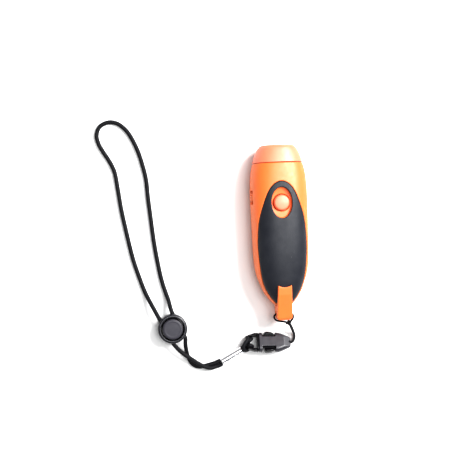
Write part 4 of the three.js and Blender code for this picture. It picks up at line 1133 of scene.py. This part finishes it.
# Along the buckle, across it and above the floor: round the bar, across the front of
# both strands, and round the bar again
HITCH_ROUTE = [
    (-3.7, -5.7, 2.5), (-2.3, -4.2, 2.8), (-1.2, -2.7, 4.7), (0.0, -1.5, 7.6), (1.9, -2.1, 6.3),
    (2.0, -3.1, 4.3), (0.4, -4.2, 3.7), (-1.8, -5.2, 5.0), (-3.3, -4.8, 6.6),
    (-4.1, -3.0, 7.5), (-3.5, -1.1, 7.6), (-2.2, 0.8, 7.3), (-1.1, 2.5, 6.2), (-1.4, 3.2, 4.4),
    (-0.7, 3.1, 2.4), (0.5, 2.9, 1.6), (1.75, 2.5, 3.0), (0.5, 1.5, 5.7), (-1.2, 0.4, 5.1),
    (-2.6, -1.3, 4.6), (-3.8, -2.9, 3.8), (-4.8, -4.0, 3.0),
]
HITCH_SPREAD = 0.88
HITCH_RADIUS = 1.2
HITCH_RADIUS_INSIDE = 1.02


def make_hitch():
    """Cow hitch of the wrist cord round the plug's bar, out of the crimped tube."""
    middle = turned_place(HITCH_ROUTE, BUCKLE_BAR, BUCKLE_TURN)
    side = FERRULE_SIDE * HITCH_SPREAD
    ends = np.array([FERRULE_TO - depth * FERRULE_AXIS for depth in (13, 3, 0.2)])
    line = centripetal(np.vstack([ends - side, middle, ends[::-1] + side]), 0.2)
    outside = (line - FERRULE_TO) @ FERRULE_AXIS
    radius = np.clip(1.1 + 0.1 * outside, HITCH_RADIUS_INSIDE, HITCH_RADIUS)
    hitch = braided_tube("bar_hitch", line, radius, 8, 6.8, 36, 0.11)
    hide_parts("cord_hitch")


# ---------- inner parts

INNER_NODES = {
    BLACK: ["horn_funnel", "driver_housing", "switch_plunger", "control_chip", "capacitor"],
    STEEL: ["slide_switch", "contact_plate_front", "contact_plate_rear", "contact_spring_rear",
            "contact_spring_front", "case_screw_left", "case_screw_right", "case_screw_tail",
            "cord_lock_spring"],
    CELL: ["battery_cell_left", "battery_cell_right"],
    BRASS: ["piezo_element"],
    WHITE: ["tact_switch"],
    BOARD: ["circuit_board"],
    COPPER: ["boost_coil"],
}


def finish_inner_parts():
    for material, names in INNER_NODES.items():
        for name in names:
            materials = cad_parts[name].data.materials
            materials.clear()
            materials.append(material)


# ---------- stage


FLOOR_REACH = 2.0
FLOOR_Z = -0.00003


def make_floor():
    finish = Finish("pale_paper", (0.82, 0.82, 0.82), 0.9, Specular_IOR_Level=0.1)
    finish.bump(finish.noise(3.0, 4), 0.02)
    mesh = bpy.data.meshes.new("floor")
    signs = [(-1, -1), (1, -1), (1, 1), (-1, 1)]
    corners = [(FLOOR_REACH * x, FLOOR_REACH * y, FLOOR_Z) for x, y in signs]
    mesh.from_pydata(corners, [], [(0, 1, 2, 3)])
    mesh.materials.append(finish.material)
    in_scene("floor", mesh)


def area_light(name, place, size, watts):
    """A round lamp that shines on the origin."""
    data = bpy.data.lights.new(name, "AREA")
    data.shape = "DISK"
    data.size = size
    data.energy = watts
    light = in_scene(name, data)
    light.location = place
    light.rotation_mode = "QUATERNION"
    light.rotation_quaternion = (-light.location).to_track_quat("-Z", "Y")


# Height of the direction from and to, then the strength at each end; the two are added
SKY_RAMPS = [(0.0, 1.0, 0.28, 0.72), (0.12, 0.3, 0.55, 0.0)]


def make_world():
    """A plain sky, bright overhead, behind a low pale backdrop."""
    world = bpy.data.worlds.new("studio")
    world.use_nodes = True
    nodes = world.node_tree.nodes
    links = world.node_tree.links
    sky = nodes["Background"]
    sky.inputs["Color"].default_value = (1, 1, 1, 1)
    direction = nodes.new("ShaderNodeTexCoord").outputs["Generated"]
    parts = nodes.new("ShaderNodeSeparateXYZ")
    links.new(direction, parts.inputs["Vector"])
    total = nodes.new("ShaderNodeMath")
    total.operation = "ADD"
    for term, limits in zip(total.inputs, SKY_RAMPS):
        ramp = nodes.new("ShaderNodeMapRange")
        links.new(parts.outputs["Z"], ramp.inputs["Value"])
        for name, value in zip(("From Min", "From Max", "To Min", "To Max"), limits):
            ramp.inputs[name].default_value = value
        links.new(ramp.outputs["Result"], term)
    links.new(total.outputs["Value"], sky.inputs["Strength"])
    bpy.context.scene.world = world


def make_lights():
    area_light("key", (0.654, 0.4332, 0.906), 0.55, 29)
    area_light("top", (0.2, 0.1, 1.55), 0.8, 14)
    make_world()
    bpy.context.scene.view_settings.view_transform = "Standard"
    bpy.context.scene.view_settings.gamma = 0.8


# ---------- assembly

make_ferrule()
make_lock()
make_hitch()
make_cords()
make_case()
make_buckle()
finish_inner_parts()
make_floor()
make_lights()
